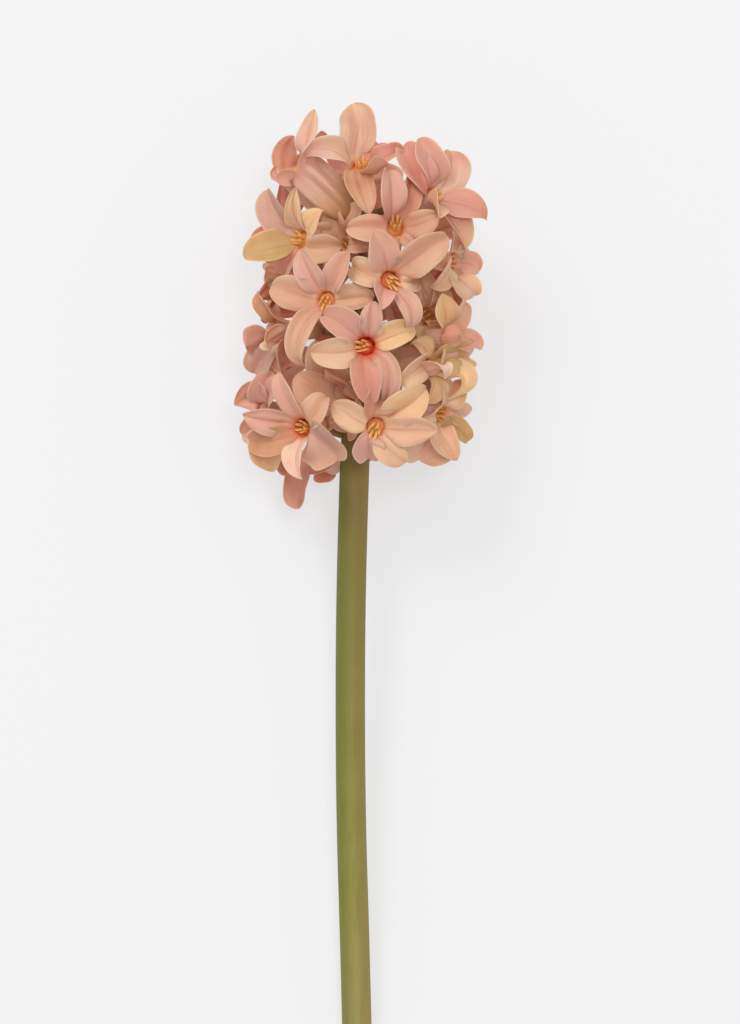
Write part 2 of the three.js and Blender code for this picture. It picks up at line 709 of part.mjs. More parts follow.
florets.forEach((spec, i) => {
  const whole = (fullness, swing) => {
    const bare = floretSolid(spec, 0, fullness, swing);
    return i < OWN_STAMENS ? bare : bare.add(stamenSolid(spec, FUSED_SINK, FUSED_TURN));
  };
  const body = cutClear(whole, (gap) => [under, grown(gap).stem, ...grown(gap).solids.slice(0, i)]);
  flower.add(namedMesh("floret_" + label(i), body, PETAL_MATERIAL));
});
florets.slice(0, OWN_STAMENS).forEach((spec, i) => {
  const body = cutClear(() => stamenSolid(spec), (gap) => grown(gap).solids.filter((_, j) => j !== i));
  flower.add(namedMesh("stamens_" + label(i), body, STAMEN_MATERIAL));
});
flower.add(namedMesh("stem", cutClear(() => stemSolid(florets), () => [under]), STEM_MATERIAL));

// The flower lies with its cut end and the head's lowest petals on the surface
flower.rotation.x = LIE_ANGLE;
flower.position.z = STEM_RADIUS * Math.cos(LIE_ANGLE);
const root = new THREE.Group();
root.add(flower);
const box = new THREE.Box3().setFromObject(root, true);
flower.position.x -= (box.min.x + box.max.x) / 2;
flower.position.y -= (box.min.y + box.max.y) / 2;

export default root;
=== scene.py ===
import math

import bmesh
import bpy
import numpy as np
from mathutils import Matrix, Vector


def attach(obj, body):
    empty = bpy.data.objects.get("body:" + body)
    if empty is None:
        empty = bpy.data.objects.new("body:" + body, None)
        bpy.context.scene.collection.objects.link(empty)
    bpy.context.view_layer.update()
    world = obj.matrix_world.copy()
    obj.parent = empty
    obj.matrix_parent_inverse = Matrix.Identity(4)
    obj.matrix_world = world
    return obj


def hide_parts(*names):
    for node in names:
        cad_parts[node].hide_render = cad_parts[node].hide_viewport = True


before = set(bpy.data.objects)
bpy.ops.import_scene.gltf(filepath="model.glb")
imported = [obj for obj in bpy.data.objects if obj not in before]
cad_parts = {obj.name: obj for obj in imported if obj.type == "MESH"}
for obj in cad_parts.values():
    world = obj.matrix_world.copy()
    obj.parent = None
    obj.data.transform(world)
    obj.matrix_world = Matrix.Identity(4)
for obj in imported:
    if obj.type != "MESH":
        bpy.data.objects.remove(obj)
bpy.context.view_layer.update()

# A cut hyacinth spike on a pale floor. Sizes are in mm in the flower's own frame: x to the right,
# y along the stem from its cut end to the top, z toward the viewer. to_world() brings them to the
# model's frame.
MM = 0.001
HEAD_LENGTH = 117.5
STEM_PAST_PHOTO = 6.0
STEM_RADIUS = 4.3
NECK_LENGTH = 20.0
RACHIS_RADIUS = 3.4
RACHIS_TIP_RADIUS = 1.6
STALK_RADIUS = 1.05
STALK_END_RADIUS = 1.35
STALK_DROP = 3.0
GAP = 0.3
TUBE_LENGTH = 12.0
THROAT_RADIUS = 3.2
WALL = 0.5
PETAL_WIDTH = 8.4
PETAL_FULLNESS = 1.1
PETAL_LENGTH = 16.0
PETAL_CHANNEL = 0.22
PETAL_WIDEST_PLACE = 0.42
PETAL_BLUNTNESS = 2.2
FACING_PLACE = 0.56
LIE_ANGLE = math.radians(6.4)
FLOOR_CLEARANCE = 0.35
CUT_END_ZONE = 1.2
LOBE_OVERLAP = 1.06

# Readings from the photograph, in its pixels
PHOTO_WIDTH = 740
PHOTO_HEIGHT = 1024
PHOTO_HEAD_TOP = 103
PHOTO_HEAD_BOTTOM = 508
PHOTO_CENTRE_X = 357
NECK_IN_PHOTO = 450
MM_PER_PIXEL = HEAD_LENGTH / (PHOTO_HEAD_BOTTOM - PHOTO_HEAD_TOP)

# Centre line of stem and rachis: photo x, photo y, depth toward the viewer in mm
STEM_LINE = [
    (357, 1044.7, 0), (354, 930, 0), (351, 820, 0), (350, 700, 0), (351, 590, 0),
    (354, 477, 0), (357, 400, 0), (359, 320, 0), (361, 240, 0), (361, 180, 0),
]


def from_photo(place):
    """A point read in the photograph, with its depth in mm, as a point of the flower frame."""
    x, y, depth = place
    return Vector((
        (x - PHOTO_CENTRE_X) * MM_PER_PIXEL,
        (PHOTO_HEIGHT - y) * MM_PER_PIXEL + STEM_PAST_PHOTO,
        depth,
    ))


def petal_at(tip, width, tint="peach", tip_tint=None, twist=0.0, bow=(0, 0, 0), curl=0.5,
             channel=PETAL_CHANNEL, show=0.0, blunt=PETAL_BLUNTNESS):
    """A petal by the place of its tip in the flower frame.

    bow pushes its middle sideways, and blunt squares its end. show turns its face to the viewer:
    1 the inner face, -1 the outer one, and less than that part of the way.
    """
    return {"tip": tip, "width": width, "twist": twist, "bow": Vector(bow), "curl": curl,
            "channel": channel, "show": show, "blunt": blunt, "tint": tint, "tip_tint": tip_tint or tint}


def petal(x, y, depth, width, tint="peach", **looks):
    """A petal by the place of its tip in the photograph, with its depth toward the viewer in mm."""
    return petal_at(from_photo((x, y, depth)), width, tint, **looks)


def floret_at(mouth, face, petals, tube=TUBE_LENGTH, stout=1.0, glow=0.15, lean=(0, 0, 0), deep=0.0):
    """A floret by the place of its throat in the flower frame and the way it faces.

    glow reddens its throat, lean pulls the tops of its stamens aside, and deep sinks them, in mm.
    """
    return {"mouth": mouth, "axis": Vector(face).normalized(), "petals": petals, "tube": tube,
            "stout": stout, "glow": glow, "lean": Vector(lean), "deep": deep}


def floret(throat, face, petals, **looks):
    """A floret by the place of its throat in the photograph, with its depth in mm."""
    return floret_at(from_photo(throat), face, petals, **looks)


# Florets that the photograph shows, front ones first. A petal's row gives its tip's photo x, photo y and
# depth in mm, then its width in mm and its tint.
SHOWN_FLORETS = [
    # Bottom centre, facing the viewer
    floret((376, 427, 22), (0.2, -0.15, 1), [
        petal(333, 403, 19, 8, "cream"),
        petal(398, 374, 16, 9, "coral", twist=0.4),
        petal(429, 387, 21, 9.6, "gold"),
        petal(437, 431, 23, 8.4, bow=(0, 1.5, 0)),
        petal(407, 465, 22, 7.4, "cream"),
        petal(368, 459, 15, 8.6, "mauve"),
    ], lean=(-0.35, -0.75, 0)),
    # Centre
    floret((366, 347, 22.5), (0.05, 0, 1), [
        petal(373, 300, 26, 6.6, "mauve"),
        petal(319, 313, 22, 8.4, "mauve"),
        petal(311, 353, 24, 8.4, "cream"),
        petal(372, 408, 26, 8.6, "rose"),
        petal(380, 408, 22, 6, "mauve", bow=(3.6, 0.5, 0)),
        petal(416, 330, 22, 7.4, "gold"),
    ], glow=1, lean=(-0.9, -0.1, 0), deep=0.8),
    # Right of centre, upper
    floret((390, 281, 22), (0.3, 0.05, 1), [
        petal(373, 232, 27, 9.4, "mauve"),
        petal(450, 235, 24, 9.4),
        petal(348, 265, 20, 8, "cream"),
        petal(381, 312, 30, 6.8, "mauve", channel=0.5),
        petal(407, 336, 24, 6, "mauve", bow=(4, 1, 3)),
        petal(416, 281, 12, 6, "cream"),
    ], glow=0.5, lean=(0.3, -0.7, 0)),
    # Upper centre, behind the one before
    floret((396, 228, 18), (0.42, 0.12, 0.9), [
        petal(388, 167, 18, 7.8, "mauve", channel=0.4),
        petal(344, 229, 19, 7.8),
        petal(440, 214, 20, 7.6),
        petal(412, 168, 13, 6, "coral"),
        petal(374, 262, 12, 7, "brown"),
        petal(446, 270, 13, 7.6),
    ], lean=(-0.4, 0.5, 0)),
    # Left of centre
    floret((326, 301, 20), (-0.4, 0, 0.9), [
        petal(270, 286, 17, 9.6),
        petal(300, 250, 19, 7.6, "mauve"),
        petal(349, 253, 24, 7, "mauve"),
        petal(375, 298, 21, 7.2),
        petal(350, 335, 12, 7),
        petal(303, 369, 19, 6.4, bow=(-3, 0, 2)),
    ], lean=(0.2, -0.6, 0)),
    # Lower left
    floret((302, 428, 17), (-0.55, -0.1, 0.8), [
        petal(277, 371, 20, 6.8, "mauve"),
        petal(242, 415, 17, 7.8, "mauve"),
        petal(246, 440, 9, 8, "brown"),
        petal(301, 481, 22, 6.4, "pale", channel=0.4),
        petal(338, 460, 18, 12.6, "shaded_mauve", bow=(1.5, 1.6, 0), blunt=5),
        petal(328, 394, 21, 8),
    ], glow=0.7, deep=1.6),
    # Upper left
    floret((301, 240, 16), (-0.7, 0.1, 0.7), [
        petal(242, 257, 14, 9, "olive"),
        petal(268, 189, 11, 8.6, "shaded_mauve", blunt=3),
        petal(297, 189, 20, 4.5, "cream", twist=1.0),
        petal(323, 210, 22, 7, "gold"),
        petal(343, 246, 17, 8),
        petal(283, 278, 9, 8, "coral"),
    ]),
    # Lower right
    floret((428, 368, 15), (0.75, 0, 0.62), [
        petal(450, 383, 21, 7.4, "pale", bow=(1, 5, 3)),
        petal(447, 400, 16, 7.6, "gold", bow=(7.5, 3, 0)),
        petal(424, 402, 15, 7, "gold"),
        petal(397, 385, 24, 7.6, "cream"),
        petal(412, 340, 18, 7, "gold"),
        petal(473, 357, 6, 9, "olive", tip_tint="gold"),
    ], deep=1.2),
    # Upper right
    floret((433, 197, 15), (0.72, 0.2, 0.66), [
        petal(420, 138, 13, 8.2, "mauve", bow=(-1, 0, 0), show=0.9),
        petal(401, 142, 8, 9, "rose", bow=(-1, 0, 0), show=0.9),
        petal(452, 147, 11, 10, "pale", bow=(-0.5, 0, 0), show=0.6, blunt=3, tip_tint="rose"),
        petal(490, 219, 14, 9, "mauve", tip_tint="coral"),
        petal(464, 251, 14, 8.6, blunt=3),
        petal(438, 221, 26, 6.4, "cream", channel=0.4),
    ]),
    # Top centre, facing up
    floret((361, 166, 11), (0, 0.75, 0.66), [
        petal(353, 103, 14, 10, "pale", bow=(2.2, 0, 0), channel=0.25, blunt=7),
        petal(304, 158, 18, 7, "pale", bow=(0, 2, 1), show=0.8, tip_tint="mauve"),
        petal(374, 158, 26, 8, bow=(2, -4, 0)),
        petal(405, 148, 10, 7, "rose", tip_tint="berry"),
        petal(370, 216, 21, 8, "brown", tip_tint="peach"),
        petal(381, 141, 3, 7, "coral"),
    ]),
    # Top left, seen from the side
    floret((298, 168, 11), (-0.71, 0.67, 0.2), [
        petal(315, 111, 12, 5.6, "pale", bow=(1.2, 0, 0), curl=0.1, show=0.9),
        petal(293, 134, 6, 7.4, "rose", bow=(1, 0, 0), show=0.6, tip_tint="berry"),
        petal(275, 166, 9, 4, "mauve", show=0.6),
        petal(288, 188, 17, 7, "mauve", show=-0.8),
        petal(326, 148, 2, 6),
        petal(329, 138, 0, 6.4, "olive"),
    ], tube=21, stout=2.1, deep=2.4),
    # Right edge, upper
    floret((452, 262, 11), (0.85, -0.1, 0.5), [
        petal(482, 271, 8, 7, "mauve"),
        petal(477, 299, 12, 7.6, "cream", show=0.8, blunt=3),
        petal(431, 290, 18, 6.4, "cream"),
        petal(456, 232, 7, 7),
        petal(455, 300, 3, 7, "coral"),
        petal(462, 238, 0, 7),
    ], deep=2),
    # Right edge, middle
    floret((446, 338, 12.5), (0.85, 0.05, 0.5), [
        petal(442, 294, 19, 7.6, "gold", bow=(-1.8, 0, 0), show=0.8),
        petal(464, 336, 20, 6),
        petal(480, 350, 10, 7.6, "mauve", bow=(1, 3.6, 0), show=0.6),
        petal(466, 300, 4, 7),
        petal(464, 352, -2, 7, "olive"),
        petal(436, 372, 9, 6),
    ], deep=2),
    # Right edge, lower
    floret((440, 415, 11), (0.7, -0.35, 0.6), [
        petal(456, 462, 18, 7.6, show=0.8),
        petal(471, 443, 5, 5.8, "olive"),
        petal(419, 461, 9, 13, "pale", bow=(-3.4, 0, 0), show=0.8, blunt=3),
        petal(427, 419, 21, 5, "cream"),
        petal(454, 378, 5, 8.4, "cream", show=0.8),
        petal(462, 420, -3, 7),
    ], deep=2),
    # Left edge, middle
    floret((284, 330, 8), (-0.92, 0, 0.38), [
        petal(244, 345, 7, 9.6, "shaded_mauve", bow=(0, -1.5, 0), show=-0.8, blunt=5),
        petal(258, 292, 5, 8, "brown"),
        petal(270, 352, 15, 5.6, "cream", bow=(-3, 0, 2)),
        petal(284, 376, 8, 7),
        petal(283, 292, -2, 7, "brown"),
        petal(252, 375, -1, 10, "shaded_mauve", show=0.6),
    ]),
    # Left edge, lower
    floret((272, 412, 3), (-0.95, -0.12, 0.15), [
        petal(234, 406, 4, 10.4, "mauve", bow=(1.2, 1.8, 0), show=0.9),
        petal(238, 434, 1, 9, "mauve", show=0.8),
        petal(268, 473, 6, 9.6, "peach", bow=(3.4, 0, 0), show=0.8, blunt=4, tip_tint="gold"),
        petal(272, 370, 7, 9, "mauve", show=0.9),
        petal(252, 382, -9, 7, "mauve"),
        petal(252, 444, -9, 7, "mauve"),
    ]),
    # Lowest, hanging below the head on the left
    floret((309, 458, -7), (-0.4, -0.65, -0.6), [
        petal(296, 510, -3, 6.8, "mauve", curl=0.1, blunt=4),
        petal(338, 462, 3, 8, "mauve"),
        petal(272, 466, -4, 7, "coral"),
        petal(336, 473, -10, 7, "coral"),
        petal(284, 470, -18, 7, "coral"),
        petal(312, 468, -20, 7),
    ]),
    # Left edge, between the upper and the middle one
    floret((286, 283, -2), (-1, 0.05, -0.08), [
        petal(259, 300, 3, 8, "brown"),
        petal(262, 270, 4, 7.6),
        petal(266, 322, -5, 7.6, "brown"),
        petal(272, 254, -8, 7.6, "coral"),
        petal(268, 300, -15, 7.6, "brown"),
        petal(268, 272, -15, 7.6, "brown"),
    ]),
]

# Florets set deeper in, with short tubes, which show between the front ones
DEEP_TUBE = 6.0
DEEP_FLORETS = [
    floret((348, 405, 8), (-0.5, 0.35, 0.8), [
        petal(325, 377, 19, 8),
        petal(356, 374, 10, 7.4, "pale"),
        petal(295, 372, 10, 11),
        petal(344, 436, 6, 9),
        petal(328, 430, 8, 7.4),
        petal(314, 341, 7, 11.5),
    ], tube=DEEP_TUBE, deep=3),
    floret((342, 246, 9), (-0.6, 0.5, 0.6), [
        petal(336, 204, 10, 8.4),
        petal(366, 202, 12, 8.4),
        petal(314, 252, 11, 8.4),
        petal(350, 282, 8, 8.4),
        petal(376, 250, 8, 7.4),
        petal(312, 226, 11, 8.4),
    ], tube=DEEP_TUBE, deep=3),
    floret((428, 316, 8), (0.5, 0.2, 0.8), [
        petal(434, 284, 12, 7.4),
        petal(404, 290, 9, 7.4),
        petal(402, 322, 11, 8.4, "brown"),
        petal(444, 322, 12, 7.4, "gold"),
        petal(420, 348, 12, 8.4, "gold"),
        petal(418, 274, 6, 8.4),
    ], tube=DEEP_TUBE, deep=3),
]

# Florets of the hidden back, in rows round the rachis: height on the stem in mm, azimuths in degrees
BACK_ROWS = [
    (180, (118, 172)),
    (198, (132, 184, 236)),
    (216, (108, 158, 210)),
    (234, (130, 182, 236)),
    (245, (180,)),
]
BACK_REACH = 22.0
BACK_TUBE = 11.0
BACK_LIFT = 0.15
BACK_LIFT_FROM = 225
BACK_LIFT_GAIN = 0.02
MOUTH_CLEARANCE = 7.0
TIP_CLEARANCE = 0.1
BACK_SEED = 7
AZIMUTH_SPREAD = 4
HEIGHT_SPREAD = 2
TURN_SPREAD = 0.5
BACK_SPREAD = 0.86
BACK_FORWARD = 1.5
BACK_WIDTH = 0.92
BACK_CURL = 0.4
BACK_TINTS = ("peach", "mauve", "coral", "peach", "cream", "coral")


def paint(red, green, blue):
    """A colour from its usual 0 to 255 values, in the linear values that the shader takes."""
    def linear(value):
        value /= 255
        return value / 12.92 if value <= 0.04045 else ((value + 0.055) / 1.055) ** 2.4
    return (linear(red), linear(green), linear(blue), 1.0)


# The petals' colours by name; three of them are lighter or darker copies that stand for light and shade, as
# marked below
PETAL_TINTS = {
    # A lighter copy of the peach: painted light on petals turned away from the lamps, on some also their own
    # paler pink
    "pale": paint(242, 206, 184),
    "peach": paint(228, 182, 152),
    "cream": paint(232, 192, 158),
    "gold": paint(240, 198, 148),
    "olive": paint(194, 162, 102),
    "coral": paint(218, 150, 124),
    "mauve": paint(224, 172, 156),
    "rose": paint(212, 146, 130),
    # A darker tan for petals deep between the florets and under others: painted shade
    "brown": paint(200, 142, 106),
    # A darker copy of the mauve: painted shade on petals that lie in shadow
    "shaded_mauve": paint(202, 160, 146),
    "berry": paint(188, 112, 102),
}
TINT_SPREAD = 0.05


def petal_tint(name, shade):
    """A named colour made a little lighter or darker."""
    factor = 1 + TINT_SPREAD * shade
    return [channel * factor for channel in PETAL_TINTS[name][:3]]


def random_from(seed):
    """A small random source with a fixed seed."""
    state = seed
    while True:
        state = (state * 16807) % 2147483647
        yield state / 2147483647


def surface_depth(y):
    """Level of the floor under the flower, in the flower frame."""
    return -STEM_RADIUS - y * math.tan(LIE_ANGLE)


def back_florets():
    source = random_from(BACK_SEED)

    def vary(spread):
        return (next(source) - 0.5) * 2 * spread

    florets = []
    for height, azimuths in BACK_ROWS:
        for degrees in azimuths:
            azimuth = math.radians(degrees + vary(AZIMUTH_SPREAD))
            y = height + vary(HEIGHT_SPREAD)
            lift = BACK_LIFT + max(0, height - BACK_LIFT_FROM) * BACK_LIFT_GAIN
            outward = Vector((math.sin(azimuth), 0, math.cos(azimuth)))
            axis = Vector((outward.x, lift, outward.z)).normalized()
            mouth = outward * BACK_REACH
            mouth.y = y + BACK_REACH * lift * 0.5
            mouth.z = max(mouth.z, surface_depth(mouth.y) + MOUTH_CLEARANCE)
            florets.append(floret_at(mouth, axis, back_petals(mouth, axis, vary), tube=BACK_TUBE))
    return florets


def back_petals(mouth, axis, vary):
    """Six petals spread evenly round the mouth, kept above the floor."""
    side = Vector((0, 1, 0)).cross(axis).normalized()
    up = axis.cross(side).normalized()
    turn = vary(TURN_SPREAD)
    petals = []
    for i in range(6):
        angle = turn + i * math.pi / 3 + vary(0.08)
        spread = PETAL_LENGTH * (BACK_SPREAD + vary(0.05))
        forward = BACK_FORWARD + vary(2.5) + (i % 2) * 2
        tip = mouth + side * (math.cos(angle) * spread) + up * (math.sin(angle) * spread) + axis * forward
        tip.z = max(tip.z, surface_depth(tip.y) + TIP_CLEARANCE)
        width = PETAL_WIDTH * (BACK_WIDTH + vary(0.06))
        petals.append(petal_at(tip, width, BACK_TINTS[i], twist=vary(0.2), curl=BACK_CURL))
    return petals


FLORETS = SHOWN_FLORETS + back_florets() + DEEP_FLORETS
OWN_STAMENS = 26


def flower_place():
    """The flower frame in the model's frame: tilted as it lies, and found by the cut end of the CAD stem."""
    corners = [v.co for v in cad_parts["stem"].data.vertices]
    low = min(c.y for c in corners)
    ring = [c.x for c in corners if c.y < low + CUT_END_ZONE * MM]
    turn = Matrix.Rotation(LIE_ANGLE, 4, "X")
    foot = from_photo(STEM_LINE[0])
    lowest = turn @ Vector((0, foot.y, STEM_RADIUS))
    place = Matrix.Translation((
        (min(ring) + max(ring)) / 2 - foot.x * MM,
        low - lowest.y * MM,
        STEM_RADIUS * math.cos(LIE_ANGLE) * MM,
    ))
    return place @ turn @ Matrix.Scale(MM, 4)


TO_WORLD = flower_place()
WORLD_ROWS = np.array(TO_WORLD)


def to_world(points):
    """Rows of points of the flower frame, in mm, as points of the model, in metres."""
    return points @ WORLD_ROWS[:3, :3].T + WORLD_ROWS[:3, 3]


def above_floor(rows):
    """Lifts points that would sink into the floor so that they lie just over it."""
    lifted = rows.copy()
    low = FLOOR_CLEARANCE * MM
    z = rows[:, 2]
    lifted[:, 2] = np.where(z < 2 * low, low + low * np.exp(np.minimum(0, z / low - 2)), z)
    return lifted


def smooth(t):
    t = np.clip(t, 0.0, 1.0)
    return t * t * (3 - 2 * t)


def unit(rows):
    return rows / np.maximum(np.linalg.norm(rows, axis=-1, keepdims=True), 1e-9)


# Modelling helpers

def deselect_all():
    for thing in bpy.context.selected_objects:
        thing.select_set(False)


def activate(thing):
    deselect_all()
    thing.select_set(True)
    bpy.context.view_layer.objects.active = thing


def apply_modifier(thing, kind, **settings):
    """Adds a modifier with its settings and applies it."""
    activate(thing)
    modifier = thing.modifiers.new(kind.lower(), kind)
    for key, value in settings.items():
        setattr(modifier, key, value)
    bpy.ops.object.modifier_apply(modifier=modifier.name)


def shade_smooth(thing):
    activate(thing)
    bpy.ops.object.shade_smooth()


def point_values(thing, name, values):
    """Stores one number for each vertex under a name that the materials read."""
    layer = thing.data.attributes.get(name) or thing.data.attributes.new(name, "FLOAT", "POINT")
    layer.data.foreach_set("value", np.asarray(values, dtype=np.float32))


def point_colours(thing, name, rows):
    """Stores a colour for each vertex under a name that the materials read."""
    layer = thing.data.attributes.get(name) or thing.data.attributes.new(name, "FLOAT_VECTOR", "POINT")
    layer.data.foreach_set("vector", np.asarray(rows, dtype=np.float32).ravel())


def read_values(thing, name, kind=np.float32):
    values = np.empty(len(thing.data.vertices), dtype=kind)
    thing.data.attributes[name].data.foreach_get("value", values)
    return values


def put_vertices(thing, rows):
    thing.data.vertices.foreach_set("co", np.asarray(rows, dtype=np.float32).ravel())
    thing.data.update()


# The floret, modelled once: a closed cup of 6 x 10 columns whose rim is drawn out into six separate lobes.
# along runs from -1 at the tube's foot over 0 at the mouth to 1 at a petal's tip.
LOBE_COLUMNS = 10
COLUMNS = 6 * LOBE_COLUMNS
TUBE_ROWS = (-1.0, -0.97, -0.88, -0.74, -0.56, -0.36, -0.16, 0.0)
PETAL_ROWS = (0.05, 0.12, 0.2, 0.29, 0.38, 0.47, 0.56, 0.65, 0.74, 0.82, 0.89, 0.94, 0.975, 0.993)
TUBE_PROFILE = ((-1.0, 0.0), (-0.97, 1.2), (-0.88, 1.9), (-0.74, 2.35), (-0.56, 2.6), (-0.36, 2.65),
                (-0.16, 2.65), (0.0, 2.95))


def floret_blank():
    deselect_all()
    bpy.ops.mesh.primitive_circle_add(vertices=COLUMNS, radius=1, fill_type="TRIFAN")
    blank = bpy.context.object
    bpy.ops.object.mode_set(mode="EDIT")
    bpy.ops.mesh.select_mode(type="EDGE")
    mesh = bmesh.from_edit_mesh(blank.data)
    along = mesh.verts.layers.float.new("along")
    column = mesh.verts.layers.int.new("column")
    lobe = mesh.verts.layers.int.new("lobe")
    for vert in mesh.verts:
        angle = math.atan2(vert.co.y, vert.co.x) % (2 * math.pi)
        middle = vert.co.length < 0.5
        vert[along] = TUBE_ROWS[0] if middle else TUBE_ROWS[1]
        vert[column] = -1 if middle else round(angle / (2 * math.pi) * COLUMNS) % COLUMNS
        vert[lobe] = -1

    def select_edges(wanted):
        bpy.ops.mesh.select_all(action="DESELECT")
        for edge in mesh.edges:
            if edge.is_boundary and wanted(edge):
                edge.select_set(True)

    def draw_out(place):
        bpy.ops.mesh.extrude_edges_move(TRANSFORM_OT_translate={"value": (0, 0, 0.2)})
        for vert in mesh.verts:
            if vert.select:
                vert[along] = place

    for place in TUBE_ROWS[2:]:
        select_edges(lambda edge: True)
        draw_out(place)
    for number in range(6):
        first = number * LOBE_COLUMNS
        reach = {(first + i) % COLUMNS for i in range(LOBE_COLUMNS + 1)}

        def on_its_rim(edge):
            return all(v[lobe] < 0 and v[along] == 0 and v[column] in reach for v in edge.verts)

        select_edges(on_its_rim)
        draw_out(PETAL_ROWS[0])
        for vert in mesh.verts:
            if vert.select:
                vert[lobe] = number
    for place, before in zip(PETAL_ROWS[1:], PETAL_ROWS):
        select_edges(lambda edge: all(abs(v[along] - before) < 1e-5 for v in edge.verts))
        draw_out(place)
    bmesh.update_edit_mesh(blank.data)
    bpy.ops.object.mode_set(mode="OBJECT")
    return blank


blank = floret_blank()
ROW_PLACE = read_values(blank, "along").astype(float)
ROW_COLUMN = read_values(blank, "column", np.int32)
ROW_LOBE = read_values(blank, "lobe", np.int32)


def rim_places(spec):
    """Petals in the order in which they stand round the mouth, and the turn of the six places on the rim."""
    axis = spec["axis"]
    hint = Vector((0, 1, 0)) if abs(axis.y) < 0.9 else Vector((0, 0, 1))
    side = hint.cross(axis).normalized()
    up = axis.cross(side)
    placed = []
    for p in spec["petals"]:
        offset = p["tip"] - spec["mouth"]
        placed.append((math.atan2(offset.dot(up), offset.dot(side)), p))
    placed.sort(key=lambda pair: pair[0])
    shifts = [angle - i * math.pi / 3 for i, (angle, _) in enumerate(placed)]
    turn = math.atan2(sum(map(math.sin, shifts)), sum(map(math.cos, shifts)))
    return side, up, turn, [p for _, p in placed]


# How a petal leaves the tube and arches over, as shares of its length
FLARE_ALONG = 0.8
FLARE_OUT = 0.6
ROOT_REACH = 0.3
ROOT_BOW = 0.7
TIP_REACH = 0.35
SIDE_TURN_RATE = 1.6
TWIST_RATE = 1.5
WIDENING_POWER = 2.2
POINTING_POWER = 0.9

# Where a petal's root is over and its tip begins, and how fast its relief comes and goes
SIXTH = math.pi / 6
OPENED_BY = 0.3
ROOT_END = 0.16
ROOT_HALF_WIDTH = 0.5
ROOT_FULLNESS = 1.1
BEHIND_END = 0.18
TIP_ZONE = 0.25
CUP_POWER = 1.1
HOOD_POWER = 1.5
HOOD_START = 0.68
HOOD_ZONE = 0.3
GROOVE_WIDTH = 0.2
GROOVE_START = 0.02
GROOVE_ZONE = 0.2
CREASE_RATE = 8
ROLL_START = 0.5
ROLL_ZONE = 0.3
WAVE_RATE = 8
WAVE_SLANT = 1.5
WAVE_POWER = 3
WAVE_ZONE = 0.4
NOD_START = 0.7
RAGGED_RATE = 11


def half_width(full, s, root, blunt):
    """Half the width of a petal along its length: broad soon after the root, then drawn to a point."""
    rise = root + (full - root) * (1 - (1 - np.clip(s / PETAL_WIDEST_PLACE, 0, 1)) ** WIDENING_POWER)
    past = np.clip((s - PETAL_WIDEST_PLACE) / (1 - PETAL_WIDEST_PLACE), 0, 1)
    fall = full * np.maximum(0, 1 - past ** blunt) ** POINTING_POWER
    return np.where(s < PETAL_WIDEST_PLACE, rise, fall)


def viewer_turn(tangent, wide, s, show):
    """The turn about its own length that brings a petal's face, at its middle, toward the viewer."""
    middle = np.argmin(np.abs(s - FACING_PLACE))
    face = np.cross(tangent[middle], wide[middle])
    sign = -1 if show < 0 else 1
    return math.atan2(-sign * wide[middle][2], sign * face[2])


def petal_curve(p, spec, root, root_way, s):
    """Middle line of a petal, with the way across it and the way that its inner face looks."""
    mouth, axis = spec["mouth"], spec["axis"]
    tip = p["tip"]
    length = (tip - root).length
    flare = axis * FLARE_ALONG + root_way * FLARE_OUT
    first = root + flare * (ROOT_REACH * length) + p["bow"] * ROOT_BOW
    back = ((tip - first).normalized() - axis * p["curl"]).normalized()
    second = tip - back * (TIP_REACH * length) + p["bow"]
    a, b, c, d = (np.array(v) for v in (root, first, second, tip))
    t = s[:, None]
    centre = a * (1 - t) ** 3 + b * 3 * t * (1 - t) ** 2 + c * 3 * t ** 2 * (1 - t) + d * t ** 3
    tangent = unit((b - a) * (1 - t) ** 2 + (c - b) * 2 * t * (1 - t) + (d - c) * t ** 2)
    offset = tip - mouth
    offset = (offset - axis * offset.dot(axis)).normalized()
    root_side = np.array(axis.cross(root_way))
    tip_side = np.array(axis.cross(offset))
    blend = smooth(s * SIDE_TURN_RATE)[:, None]
    wide = root_side * (1 - blend) + tip_side * blend
    wide = unit(wide - tangent * np.sum(wide * tangent, axis=1, keepdims=True))
    turned = p["twist"] + abs(p["show"]) * viewer_turn(tangent, wide, s, p["show"])
    twist = (turned * smooth(s * TWIST_RATE))[:, None]
    wide = wide * np.cos(twist) + np.cross(tangent, wide) * np.sin(twist)
    return centre, wide, np.cross(tangent, wide)


def petal_relief(half, s, across, channel, rim, look):
    """How far each place of a petal stands in from its middle line: cupped, creased, rolled and nodding."""
    edge = np.abs(across)
    opened = smooth(s / OPENED_BY)
    ending = smooth((1 - s) / TIP_ZONE)
    arc = rim * (1 - math.cos(SIXTH)) * across ** 2 * (1 - opened)
    cup = half * (channel + look["cup"]) * edge ** CUP_POWER * opened
    hood = half * look["hood"] * edge ** HOOD_POWER * smooth((s - HOOD_START) / HOOD_ZONE)
    groove_start = smooth((s - GROOVE_START) / GROOVE_ZONE)
    groove = -look["groove"] * np.exp(-(across / GROOVE_WIDTH) ** 2) * groove_start * ending
    crease = look["crease"] * np.cos(across * CREASE_RATE + look["phase"]) * opened * ending
    roll = np.where(across > 0, look["right_roll"], look["left_roll"])
    roll_share = smooth((edge - ROLL_START) / (1 - ROLL_START)) * smooth((1 - s) / ROLL_ZONE)
    rolled = -roll * roll_share * half / 4 * opened
    swell = np.sin(s * WAVE_RATE + look["phase"] + across * WAVE_SLANT)
    wave = look["wave"] * swell * edge ** WAVE_POWER * smooth(s / WAVE_ZONE)
    nod = look["nod"] * np.clip((s - NOD_START) / (1 - NOD_START), 0, 1) ** 2
    behind = look["behind"] * smooth(s / BEHIND_END)
    return arc + cup + hood + groove + crease + rolled + wave + nod - behind


